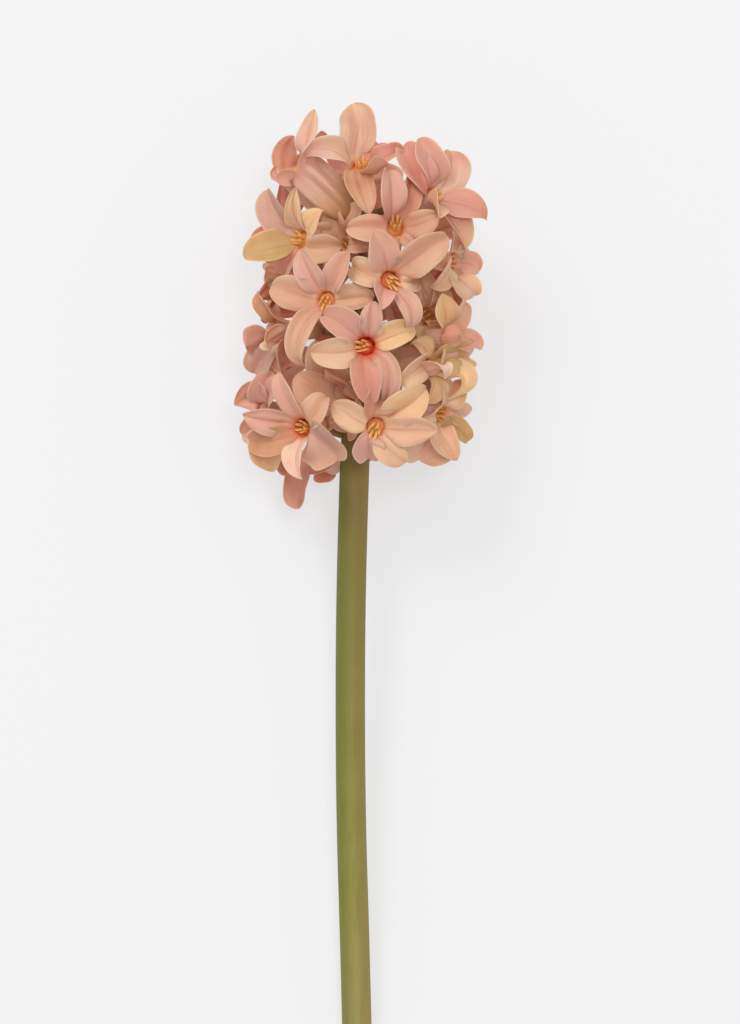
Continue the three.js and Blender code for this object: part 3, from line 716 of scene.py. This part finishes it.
def petal_points(p, spec, root_way, s, across, look):
    """Places of a petal's vertices, by how far along and across it they lie."""
    mouth, axis = spec["mouth"], spec["axis"]
    rim = (THROAT_RADIUS - WALL / 2) * spec["stout"]
    centre, wide, inner = petal_curve(p, spec, mouth + root_way * rim, root_way, s)
    opened = smooth(s / OPENED_BY)
    from_axis = centre - np.array(mouth)
    from_axis = from_axis - np.outer(from_axis @ np.array(axis), np.array(axis))
    share = ROOT_HALF_WIDTH + (math.tan(SIXTH) - ROOT_HALF_WIDTH) * opened
    touching = np.linalg.norm(from_axis, axis=1) * share * LOBE_OVERLAP
    full = p["width"] * PETAL_FULLNESS / 2
    half = half_width(full, s, ROOT_HALF_WIDTH * rim, p["blunt"] + look["blunt"])
    half = half + (np.minimum(touching, full * ROOT_FULLNESS) - half) * (1 - smooth(s / ROOT_END))
    rise = petal_relief(half, s, across, p["channel"], rim, look)
    tooth = np.sin(s * RAGGED_RATE + look["phase"] * 2 + np.sign(across))
    ragged = 1 + look["ragged"] * tooth * opened
    uneven = 1 + look["uneven"] * across * opened
    skew = look["skew"] * np.sin(math.pi * s)
    return centre + wide * (half * across * ragged * uneven + skew)[:, None] + inner * rise[:, None]


# The tube's six flutes and the finer ribs between them, deeper in a stout tube
TUBE_FLUTING = 0.07
TUBE_RIBS = 0.45
RIB_TURN = 0.8
STOUT_FLUTING = 1.4
MOUTH_FADE = 6
FOOT_FADE = 2


def shape_floret(spec, looks):
    """Places of all the blank's vertices for one floret, in the flower frame."""
    side, up, turn, placed = rim_places(spec)
    mouth, axis = np.array(spec["mouth"]), np.array(spec["axis"])
    angle = turn - SIXTH + ROW_COLUMN * 2 * math.pi / COLUMNS
    outward = np.array(side) * np.cos(angle)[:, None] + np.array(up) * np.sin(angle)[:, None]
    radius = np.interp(ROW_PLACE, [q[0] for q in TUBE_PROFILE], [q[1] for q in TUBE_PROFILE]) * spec["stout"]
    ribs = np.cos((angle - turn) * 6) + TUBE_RIBS * np.cos((angle - turn) * 12 + RIB_TURN)
    ridge = TUBE_FLUTING * spec["stout"] ** STOUT_FLUTING * ribs
    fluting = 1 + ridge * smooth(-ROW_PLACE * MOUTH_FADE) * smooth((ROW_PLACE + 1) * FOOT_FADE)
    points = mouth + axis * (ROW_PLACE * spec["tube"])[:, None] + outward * (radius * fluting)[:, None]
    for i, p in enumerate(placed):
        mine = ROW_LOBE == i
        step = (ROW_COLUMN[mine] - i * LOBE_COLUMNS) % COLUMNS
        across = step / LOBE_COLUMNS * 2 - 1
        way = turn + i * math.pi / 3
        root_way = side * math.cos(way) + up * math.sin(way)
        points[mine] = petal_points(p, spec, root_way, ROW_PLACE[mine], across, looks[i])
    return points


FLORET_SEED = 101
FLORET_SEED_STEP = 37
BEHIND = 0.6
RIM_ZONE = 0.6
TIP_RIM_ZONE = 0.35
TIP_RIM_SHARE = 0.1
THINNEST_WALL = 0.45


def petal_looks(vary):
    """The small differences between a floret's six petals."""
    looks = []
    for i in range(6):
        looks.append({
            "groove": vary(0.1, 0.5), "crease": vary(0.12, 0.36), "phase": vary(0, 6.3),
            "left_roll": vary(-0.4, 1.0), "right_roll": vary(-0.4, 1.0), "wave": vary(0.15, 0.65),
            "cup": vary(0.1, 0.6), "hood": vary(0.1, 0.6), "nod": vary(-2.2, 0.8), "blunt": vary(-0.3, 0.4),
            "skew": vary(-0.7, 0.7), "behind": BEHIND * (i % 2), "shade": vary(-1, 1),
            "ragged": vary(0, 0.05), "uneven": vary(-0.12, 0.12),
        })
    return looks


def make_floret(index, spec):
    """A floret in its own mesh: the blank's copy, bent to its shape, given a wall and rounded."""
    source = random_from(FLORET_SEED + index * FLORET_SEED_STEP)

    def vary(low, high):
        return low + (high - low) * next(source)

    looks = petal_looks(vary)
    thing = blank.copy()
    thing.data = blank.data.copy()
    thing.name = "floret_blooms_%02d" % (index + 1)
    bpy.context.collection.objects.link(thing)
    points = shape_floret(spec, looks)
    put_vertices(thing, above_floor(to_world(points)))
    # From -1 to 1 over one lobe and back to -1 over the next, so that the streaks meet all the way round
    across = 1 - 2 * np.abs(ROW_COLUMN % (2 * LOBE_COLUMNS) / LOBE_COLUMNS - 1)
    point_values(thing, "across", across)
    on_petal = ROW_LOBE >= 0
    placed = rim_places(spec)[3]
    for name in ("tint", "tip_tint"):
        tints = np.array([petal_tint(p[name], look["shade"]) for p, look in zip(placed, looks)])
        point_colours(thing, name, np.where(on_petal[:, None], tints[ROW_LOBE], tints.mean(axis=0)))
    point_values(thing, "own", np.full(len(points), vary(0, 1)))
    point_values(thing, "glow", np.full(len(points), spec["glow"]))
    # A wall that thins toward the petals' rims and tips
    group = thing.vertex_groups.new(name="wall")
    rims = smooth((1 - np.abs(across)) / RIM_ZONE)
    tips = smooth((1 - ROW_PLACE) / TIP_RIM_ZONE + TIP_RIM_SHARE)
    for vertex, weight in enumerate(np.where(on_petal, rims * tips, 1.0)):
        group.add([vertex], float(weight), "REPLACE")
    apply_modifier(thing, "SOLIDIFY", thickness=WALL * MM, offset=0.0, vertex_group="wall",
                   thickness_vertex_group=THINNEST_WALL)
    # The wall's first vertices, as many as were modelled, are on the side that looks into the throat
    sides = np.zeros(len(thing.data.vertices))
    sides[:len(points)] = 1.0
    point_values(thing, "inner", sides)
    apply_modifier(thing, "SUBSURF", levels=1, render_levels=1)
    shade_smooth(thing)
    return thing


# Materials

def new_material(name):
    material = bpy.data.materials.new(name)
    material.use_nodes = True
    tree = material.node_tree
    return material, tree, tree.nodes["Principled BSDF"]


def add_node(tree, kind, **settings):
    node = tree.nodes.new(kind)
    for key, value in settings.items():
        setattr(node, key, value)
    return node


def attribute(tree, name):
    return add_node(tree, "ShaderNodeAttribute", attribute_name=name).outputs["Fac"]


def wire(tree, source, target):
    """Links an output to an input, or sets the input to a plain value."""
    if isinstance(source, bpy.types.NodeSocket):
        tree.links.new(source, target)
    else:
        target.default_value = source


def maths(tree, operation, *values):
    node = add_node(tree, "ShaderNodeMath", operation=operation)
    for place, value in enumerate(values):
        wire(tree, value, node.inputs[place])
    return node.outputs[0]


def remap(tree, value, low, high, to_low=0.0, to_high=1.0):
    node = add_node(tree, "ShaderNodeMapRange", interpolation_type="SMOOTHSTEP")
    for place, number in enumerate((value, low, high, to_low, to_high)):
        wire(tree, number, node.inputs[place])
    return node.outputs[0]


def mix_colours(tree, share, first, second):
    node = add_node(tree, "ShaderNodeMix", data_type="RGBA")
    wire(tree, share, node.inputs[0])
    wire(tree, first, node.inputs[6])
    wire(tree, second, node.inputs[7])
    return node.outputs[2]


def stain(tree, colour, stained, value, low, high, most):
    """Mixes another colour in as a value goes from low to high, up to the largest share."""
    return mix_colours(tree, remap(tree, value, low, high, 0.0, most), colour, paint(*stained))


def ramp(tree, value, stops):
    node = add_node(tree, "ShaderNodeValToRGB")
    elements = node.color_ramp.elements
    while len(elements) < len(stops):
        elements.new(0.5)
    for element, (place, colour) in zip(elements, stops):
        element.position = place
        element.color = colour
    wire(tree, value, node.inputs[0])
    return node.outputs[0]


def noise(tree, vector, scale, detail=3.0, roughness=0.5):
    node = add_node(tree, "ShaderNodeTexNoise")
    wire(tree, vector, node.inputs["Vector"])
    node.inputs["Scale"].default_value = scale
    node.inputs["Detail"].default_value = detail
    node.inputs["Roughness"].default_value = roughness
    return node.outputs["Fac"]


def combine(tree, x, y, z):
    node = add_node(tree, "ShaderNodeCombineXYZ")
    for place, value in enumerate((x, y, z)):
        wire(tree, value, node.inputs[place])
    return node.outputs[0]


def bump(tree, shader, height, distance, strength=1.0):
    node = add_node(tree, "ShaderNodeBump")
    node.inputs["Strength"].default_value = strength
    node.inputs["Distance"].default_value = distance
    wire(tree, height, node.inputs["Height"])
    wire(tree, node.outputs[0], shader.inputs["Normal"])


def petal_material():
    """Waxy petals: red-orange in the throat, each petal in its tint, with creases, and thin pale rims that
    are a painted rim highlight; some tints are lighter or darker copies, painted light and shade.
    """
    material, tree, shader = new_material("waxy petals")
    along = attribute(tree, "along")
    across = attribute(tree, "across")
    inner = attribute(tree, "inner")
    own = attribute(tree, "own")
    glow = attribute(tree, "glow")
    tint = add_node(tree, "ShaderNodeAttribute", attribute_name="tint").outputs["Vector"]
    tip_tint = add_node(tree, "ShaderNodeAttribute", attribute_name="tip_tint").outputs["Vector"]
    place = add_node(tree, "ShaderNodeTexCoord").outputs["Object"]
    edge = maths(tree, "ABSOLUTE", across)
    colour = mix_colours(tree, remap(tree, along, 0.4, 0.95), tint, tip_tint)
    blotch = noise(tree, place, 110.0, detail=2.0)
    colour = stain(tree, colour, (228, 184, 142), blotch, 0.35, 0.75, 0.4)
    rosy = noise(tree, place, 45.0, detail=2.0)
    colour = stain(tree, colour, (210, 144, 124), rosy, 0.45, 0.75, 0.4)
    veins = combine(tree, maths(tree, "MULTIPLY", across, 7.0), maths(tree, "MULTIPLY", along, 1.3),
                    maths(tree, "MULTIPLY", own, 40.0))
    vein = noise(tree, veins, 2.2, detail=4.0, roughness=0.6)
    colour = stain(tree, colour, (206, 138, 108), vein, 0.42, 0.75, 0.3)
    middle = maths(tree, "MULTIPLY", remap(tree, edge, 0.16, 0.0, 0.0, 0.45), remap(tree, along, 1.0, 0.3))
    colour = mix_colours(tree, middle, colour, paint(200, 128, 104))
    colour = stain(tree, colour, (232, 188, 150), along, 0.7, 1.0, 0.3)
    # Thin pale rims along the petals' edges: a painted rim highlight
    rim = maths(tree, "MULTIPLY", remap(tree, edge, 0.88, 1.0, 0.0, 0.38), remap(tree, along, 0.05, 0.4))
    colour = mix_colours(tree, rim, colour, paint(240, 204, 172))
    throat = mix_colours(tree, glow, paint(232, 172, 118), paint(208, 66, 24))
    reach = maths(tree, "MULTIPLY_ADD", glow, 0.16, 0.06)
    inside = mix_colours(tree, remap(tree, along, reach, -0.08, 0.0, 0.95), colour, throat)
    backs = mix_colours(tree, 0.35, colour, paint(204, 134, 110))
    tube = ramp(tree, maths(tree, "ADD", along, 1.0), [
        (0.0, paint(158, 132, 74)), (0.12, paint(190, 148, 92)), (0.35, paint(224, 174, 136)),
        (0.7, paint(240, 194, 172)), (1.0, paint(236, 184, 164)),
    ])
    tube = stain(tree, tube, (204, 134, 106), vein, 0.4, 0.7, 0.5)
    outside = mix_colours(tree, remap(tree, along, 0.35, -0.1), backs, tube)
    colour = mix_colours(tree, inner, outside, inside)
    wire(tree, colour, shader.inputs["Base Color"])
    wire(tree, remap(tree, blotch, 0.3, 0.7, 0.42, 0.56), shader.inputs["Roughness"])
    shader.inputs["Specular IOR Level"].default_value = 0.3
    shader.inputs["Subsurface Weight"].default_value = 0.45
    shader.inputs["Subsurface Radius"].default_value = (1.0, 0.55, 0.35)
    shader.inputs["Subsurface Scale"].default_value = 0.0012
    bump(tree, shader, vein, 0.00025, 0.4)
    return material


def stem_material():
    """Smooth stem with long streaks, browner under the head, with painted side shading: darker and greener on
    its left as painted shade, lighter and ochre on its right as painted light.
    """
    material, tree, shader = new_material("olive green stem")
    place = add_node(tree, "ShaderNodeTexCoord").outputs["Object"]
    height = attribute(tree, "height")
    side = attribute(tree, "side")
    long_grain = add_node(tree, "ShaderNodeMapping")
    long_grain.inputs["Scale"].default_value = (1.0, 0.03, 1.0)
    wire(tree, place, long_grain.inputs["Vector"])
    streak = noise(tree, long_grain.outputs[0], 900.0, detail=3.0)
    cloud = noise(tree, place, 60.0, detail=3.0)
    colour = ramp(tree, height, [
        (0.0, paint(160, 148, 88)), (0.2, paint(144, 137, 64)), (0.5, paint(130, 121, 58)),
        (0.6, paint(126, 110, 52)), (0.68, paint(132, 108, 56)), (1.0, paint(172, 126, 80)),
    ])
    colour = stain(tree, colour, (120, 116, 56), streak, 0.4, 0.7, 0.35)
    colour = stain(tree, colour, (164, 150, 88), cloud, 0.4, 0.75, 0.3)
    # Painted side shading: the left flank darker and greener as painted shade, the right flank lighter and
    # ochre as painted light
    colour = stain(tree, colour, (98, 108, 34), side, 0.1, -0.8, 0.5)
    colour = stain(tree, colour, (158, 130, 70), side, -0.1, 0.9, 0.4)
    wire(tree, colour, shader.inputs["Base Color"])
    wire(tree, remap(tree, streak, 0.3, 0.7, 0.5, 0.62), shader.inputs["Roughness"])
    shader.inputs["Specular IOR Level"].default_value = 0.3
    bump(tree, shader, streak, 0.0002, 0.4)
    return material


def anther_material():
    """Ripe anthers, dusty orange-yellow and rough, redder at the foot in a glowing throat."""
    material, tree, shader = new_material("orange yellow anthers")
    place = add_node(tree, "ShaderNodeTexCoord").outputs["Object"]
    grain = noise(tree, place, 2500.0, detail=2.0)
    stalk = attribute(tree, "height")
    colour = ramp(tree, stalk, [
        (0.0, paint(222, 138, 82)), (0.15, paint(226, 148, 88)), (0.4, paint(232, 166, 100)),
        (0.6, paint(234, 176, 96)), (1.0, paint(242, 194, 120)),
    ])
    colour = stain(tree, colour, (224, 156, 78), grain, 0.4, 0.7, 0.5)
    reddened = maths(tree, "MULTIPLY", attribute(tree, "glow"), remap(tree, stalk, 0.4, 0.1))
    colour = mix_colours(tree, reddened, colour, paint(212, 72, 30))
    wire(tree, colour, shader.inputs["Base Color"])
    shader.inputs["Roughness"].default_value = 0.75
    shader.inputs["Subsurface Weight"].default_value = 0.4
    shader.inputs["Subsurface Radius"].default_value = (1.0, 0.5, 0.25)
    shader.inputs["Subsurface Scale"].default_value = 0.001
    bump(tree, shader, grain, 0.0001, 0.6)
    return material


PETALS = petal_material()
STEM = stem_material()
ANTHERS = anther_material()

# Florets

for index, spec in enumerate(FLORETS):
    bloom = make_floret(index, spec)
    bloom.data.materials.append(PETALS)
    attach(bloom, "root")
    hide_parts("floret_%02d" % (index + 1))
bpy.data.objects.remove(blank)


# Stamens, modelled once in the floret's own frame, in mm: z along the axis, the mouth at 0

ANTHER_LENGTH = 3.6
ANTHER_WIDTH = 0.95
ANTHER_THICKNESS = 0.62
ANTHER_RING = 1.4
ANTHER_LEVEL = 0.8
ANTHER_LEAN = 0.2
FILAMENT_RADIUS = 0.3
FILAMENT_LENGTH = 2.4
FILAMENT_DROP = 0.2
OVARY_RADIUS = 2.6
OVARY_TOP = -0.25
OVARY_HEIGHT = 1.1
STYLE_RADIUS = 0.42
STYLE_TOP = 0.5
STIGMA_SWELL = 0.5
FURROW_DEPTH = 0.5
FURROW_WIDTH = 0.35
END_POWER = 0.8
LEAN_DROP = 0.25
STOUT_SPREAD = 0.8
STAMEN_SEED = 503
STAMEN_SEED_STEP = 29
STAMEN_TILT = 0.3


def ball(segments, rings):
    """A plain ball to shape further, with its vertices as rows."""
    deselect_all()
    bpy.ops.mesh.primitive_uv_sphere_add(segments=segments, ring_count=rings, radius=1)
    thing = bpy.context.object
    return thing, np.array([v.co[:] for v in thing.data.vertices])


def graded(part, rows, place, low, high):
    """Puts a shaped part in its place and numbers its vertices from foot to top for the colour."""
    rise = (rows[:, 2] - rows[:, 2].min()) / np.ptp(rows[:, 2])
    put_vertices(part, rows)
    part.data.transform(place)
    point_values(part, "height", low + (high - low) * rise)
    return part


def anther_cluster():
    parts = []
    for i in range(6):
        turn = Matrix.Rotation(i * math.pi / 3, 4, "Z")
        # Two long pollen sacs with a furrow between them on the inner side
        anther, rows = ball(12, 10)
        furrow = 1 - FURROW_DEPTH * np.exp(-(rows[:, 1] / FURROW_WIDTH) ** 2) * (rows[:, 0] < 0)
        blunt_ends = np.sign(rows[:, 2]) * np.abs(rows[:, 2]) ** END_POWER
        rows[:, 0] *= ANTHER_THICKNESS / 2 * furrow
        rows[:, 1] *= ANTHER_WIDTH / 2
        rows[:, 2] = blunt_ends * ANTHER_LENGTH / 2
        place = turn @ Matrix.Translation((ANTHER_RING, 0, ANTHER_LEVEL))
        parts.append(graded(anther, rows, place @ Matrix.Rotation(ANTHER_LEAN, 4, "Y"), 0.5, 1.0))
        filament, rows = ball(8, 8)
        rows[:, :2] *= FILAMENT_RADIUS
        rows[:, 2] *= FILAMENT_LENGTH / 2
        foot = ANTHER_LEVEL - ANTHER_LENGTH / 2 - FILAMENT_DROP
        place = turn @ Matrix.Translation((ANTHER_RING, 0, foot))
        parts.append(graded(filament, rows, place, 0.25, 0.5))
    ovary, rows = ball(24, 12)
    rows[:, :2] *= OVARY_RADIUS
    rows[:, 2] *= OVARY_HEIGHT
    parts.append(graded(ovary, rows, Matrix.Translation((0, 0, OVARY_TOP - OVARY_HEIGHT)), 0.0, 0.1))
    style, rows = ball(12, 10)
    stigma = 1 + STIGMA_SWELL * smooth((rows[:, 2] - 0.5) / 0.4)
    rows[:, :2] *= STYLE_RADIUS * stigma[:, None]
    rows[:, 2] *= (STYLE_TOP - OVARY_TOP) / 2 + 0.2
    parts.append(graded(style, rows, Matrix.Translation((0, 0, (STYLE_TOP + OVARY_TOP) / 2)), 0.2, 0.6))
    activate(parts[0])
    for part in parts:
        part.select_set(True)
    bpy.ops.object.join()
    shade_smooth(parts[0])
    return parts[0]


def make_stamens(index, spec):
    """A floret's stamens: the cluster's copy in its mouth, a little tilted and leaning as the floret says."""
    side, up, turn, _ = rim_places(spec)
    axis = spec["axis"]
    floret_place = Matrix((
        (side.x, up.x, axis.x, spec["mouth"].x),
        (side.y, up.y, axis.y, spec["mouth"].y),
        (side.z, up.z, axis.z, spec["mouth"].z),
        (0, 0, 0, 1),
    ))
    stamens = cluster.copy()
    stamens.data = cluster.data.copy()
    stamens.name = "stamen_ring_%02d" % (index + 1)
    bpy.context.collection.objects.link(stamens)
    source = random_from(STAMEN_SEED + index * STAMEN_SEED_STEP)
    tilts = [Matrix.Rotation((next(source) - 0.5) * STAMEN_TILT, 4, way) for way in "XY"]
    stamens.data.transform(tilts[0] @ tilts[1] @ Matrix.Rotation(turn, 4, "Z"))
    pull = floret_place.to_3x3().transposed() @ spec["lean"]
    rows = np.array([v.co[:] for v in stamens.data.vertices])
    rows[:, :2] *= spec["stout"] ** STOUT_SPREAD
    height = np.maximum(0, rows[:, 2] - OVARY_TOP)
    rows += np.outer(height, np.array((pull.x, pull.y, 0)))
    rows[:, 2] -= spec["deep"] + height * spec["lean"].length * LEAN_DROP
    put_vertices(stamens, rows)
    point_values(stamens, "glow", np.full(len(rows), spec["glow"]))
    stamens.data.transform(TO_WORLD @ floret_place)
    return stamens


cluster = anther_cluster()
cluster.data.materials.append(ANTHERS)
for index, spec in enumerate(FLORETS):
    stamens = make_stamens(index, spec)
    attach(stamens, "root")
    if index < OWN_STAMENS:
        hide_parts("stamens_%02d" % (index + 1))
bpy.data.objects.remove(cluster)


# Stem with its stalks

def catmull(points, t):
    """A point of the smooth curve through the given points, t from 0 to 1."""
    spans = len(points) - 1
    place = min(t * spans, spans - 1e-6)
    i = int(place)
    u = place - i
    p1, p2 = points[i], points[i + 1]
    p0 = points[i - 1] if i else p1 * 2 - p2
    p3 = points[i + 2] if i + 2 <= spans else p2 * 2 - p1
    return (p1 * 2 + (p2 - p0) * u + (p0 * 2 - p1 * 5 + p2 * 4 - p3) * u ** 2
            + (p1 * 3 - p0 - p2 * 3 + p3) * u ** 3) * 0.5


STEM_STEPS = 120
STEM_SIDES = 40
STALK_STEPS = 8
STALK_SIDES = 12
STALK_ARCH = 0.6
STALK_TONE = 0.62
ROOT_SEARCH_STEPS = 400
STEM_RIBS = 0.012
FINE_STEM_RIBS = 0.006
STEM_POINTS = [from_photo(p) for p in STEM_LINE]
HEAD_FOOT = from_photo((0, PHOTO_HEAD_BOTTOM, 0)).y
HEAD_CROWN = STEM_POINTS[-1].y
NECK_FOOT = from_photo((0, NECK_IN_PHOTO, 0)).y


def stem_radius(y):
    if y < NECK_FOOT:
        return STEM_RADIUS
    up = float(smooth((y - NECK_FOOT) / NECK_LENGTH))
    taper = (y - HEAD_FOOT) / (HEAD_CROWN - HEAD_FOOT)
    rachis = RACHIS_RADIUS + (RACHIS_TIP_RADIUS - RACHIS_RADIUS) * taper
    return STEM_RADIUS + (rachis - STEM_RADIUS) * up


def swept_tube(name, line, radii, sides):
    """A tube along a line of points, drawn out ring by ring from a disc and closed at its end."""
    deselect_all()
    bpy.ops.mesh.primitive_circle_add(vertices=sides, radius=1, fill_type="NGON")
    tube = bpy.context.object
    tube.name = name
    bpy.ops.object.mode_set(mode="EDIT")
    bpy.ops.mesh.select_mode(type="FACE")
    bpy.ops.mesh.select_all(action="SELECT")
    for _ in line[1:]:
        bpy.ops.mesh.extrude_region_move(TRANSFORM_OT_translate={"value": (0, 0, 1)})
    bpy.ops.mesh.select_all(action="SELECT")
    bpy.ops.mesh.normals_make_consistent(inside=False)
    bpy.ops.object.mode_set(mode="OBJECT")
    shape = np.array([v.co[:] for v in tube.data.vertices])
    ring = np.rint(shape[:, 2]).astype(int)
    rows = np.array([list(p) for p in line])
    ways = unit(np.gradient(rows, axis=0))
    hint = np.array((0.0, 0.0, 1.0)) if abs(ways[0][2]) < 0.8 else np.array((1.0, 0.0, 0.0))
    first = unit(np.cross(ways, hint))
    second = np.cross(ways, first)
    reach = np.array(radii)[ring][:, None]
    placed = rows[ring] + (first[ring] * shape[:, :1] + second[ring] * shape[:, 1:2]) * reach
    return tube, placed, shape, ring


def make_stalk(spec, stem_line):
    """A floret's stalk, from inside the rachis out to the foot of the tube."""
    base = spec["mouth"] - spec["axis"] * (spec["tube"] + GAP)
    level = min(base.y - STALK_DROP, HEAD_CROWN - 2)
    root = min(stem_line, key=lambda q: abs(q.y - level))
    middle = (root + base) * 0.5 + Vector((0, STALK_ARCH, 0))
    places = [i / STALK_STEPS for i in range(STALK_STEPS + 1)]
    line = [root * (1 - t) ** 2 + middle * (2 * t * (1 - t)) + base * t ** 2 for t in places]
    radii = [STALK_RADIUS + (STALK_END_RADIUS - STALK_RADIUS) * t ** 2 for t in places]
    stalk, placed, _, ring = swept_tube("stalk", line, radii, STALK_SIDES)
    put_vertices(stalk, to_world(placed))
    point_values(stalk, "height", STALK_TONE + (1 - STALK_TONE) * ring / STALK_STEPS)
    point_values(stalk, "side", np.zeros(len(placed)))
    return stalk


def make_stem():
    line = [catmull(STEM_POINTS, i / STEM_STEPS) for i in range(STEM_STEPS + 1)]
    radii = [stem_radius(p.y) for p in line]
    stem, placed, shape, ring = swept_tube("stem_and_stalks", line, radii, STEM_SIDES)
    angle = np.arctan2(shape[:, 1], shape[:, 0])
    # Shallow ribs that run up the stem
    ribs = 1 + STEM_RIBS * np.cos(angle * 5 + 0.6) + FINE_STEM_RIBS * np.cos(angle * 11 + ring * 0.02)
    rows = np.array([list(p) for p in line])[ring]
    placed = rows + (placed - rows) * ribs[:, None]
    heights = (placed[:, 1] - placed[:, 1].min()) / (HEAD_CROWN - placed[:, 1].min())
    put_vertices(stem, to_world(placed))
    point_values(stem, "height", heights)
    # Sideways place round the stem, which the material turns into painted side shading
    point_values(stem, "side", (placed - rows)[:, 0] / STEM_RADIUS)
    fine = [catmull(STEM_POINTS, i / ROOT_SEARCH_STEPS) for i in range(ROOT_SEARCH_STEPS + 1)]
    pieces = [stem] + [make_stalk(spec, fine) for spec in FLORETS]
    activate(stem)
    for piece in pieces:
        piece.select_set(True)
    bpy.ops.object.join()
    shade_smooth(stem)
    return stem


stem = make_stem()
stem.data.materials.append(STEM)
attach(stem, "root")
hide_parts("stem")


# Floor, light and camera

FLOOR_SIZE = 6
FLOOR_GLOW = 0.59
STUDIO_LIGHT = 0.56
deselect_all()
bpy.ops.mesh.primitive_plane_add(size=FLOOR_SIZE)
floor = bpy.context.object
floor.name = "floor"
floor_material, _, floor_shader = new_material("pale floor")
floor_shader.inputs["Base Color"].default_value = paint(150, 150, 152)
floor_shader.inputs["Emission Color"].default_value = (1.0, 1.0, 1.0, 1.0)
floor_shader.inputs["Emission Strength"].default_value = FLOOR_GLOW
floor_shader.inputs["Roughness"].default_value = 0.9
floor_shader.inputs["Specular IOR Level"].default_value = 0.1
floor.data.materials.append(floor_material)

scene = bpy.context.scene
scene.view_settings.view_transform = "Standard"
world = scene.world or bpy.data.worlds.new("studio")
scene.world = world
world.use_nodes = True
background = world.node_tree.nodes["Background"]
background.inputs["Color"].default_value = (1.0, 1.0, 1.0, 1.0)
background.inputs["Strength"].default_value = STUDIO_LIGHT

HEAD_MIDDLE = TO_WORLD @ Vector((0, 200, 10))


def soft_light(name, offset, size, power):
    """A round lamp that looks at the middle of the head, its offset, size and power in metres and watts."""
    light = bpy.data.lights.new(name, "AREA")
    light.shape = "DISK"
    light.size = size
    light.energy = power
    lamp = bpy.data.objects.new(name, light)
    lamp.location = HEAD_MIDDLE + Vector(offset)
    lamp.rotation_euler = (-Vector(offset)).to_track_quat("-Z", "Y").to_euler()
    bpy.context.collection.objects.link(lamp)


soft_light("key_light", (-1.0, 1.4, 2.1), 1.2, 26.0)
soft_light("fill_light", (0.3, 0.1, 2.4), 0.8, 14.0)

# The camera looks straight at the flower's own frame, so that it sees the flower as the photograph does
CAMERA_DISTANCE = 2000.0
SENSOR = 36.0
HEAD_DEPTH = 12.0
CAMERA_CLIP_END = 20
camera_data = bpy.data.cameras.new("camera")
camera_data.sensor_width = SENSOR
camera_data.lens = SENSOR * CAMERA_DISTANCE / (PHOTO_HEIGHT * MM_PER_PIXEL)
camera = bpy.data.objects.new("camera", camera_data)
bpy.context.collection.objects.link(camera)
view_centre = from_photo((PHOTO_WIDTH / 2, PHOTO_HEIGHT / 2, HEAD_DEPTH + CAMERA_DISTANCE))
camera.location = TO_WORLD @ view_centre
camera.rotation_euler = (LIE_ANGLE, 0, 0)
camera_data.clip_end = CAMERA_CLIP_END
scene.camera = camera
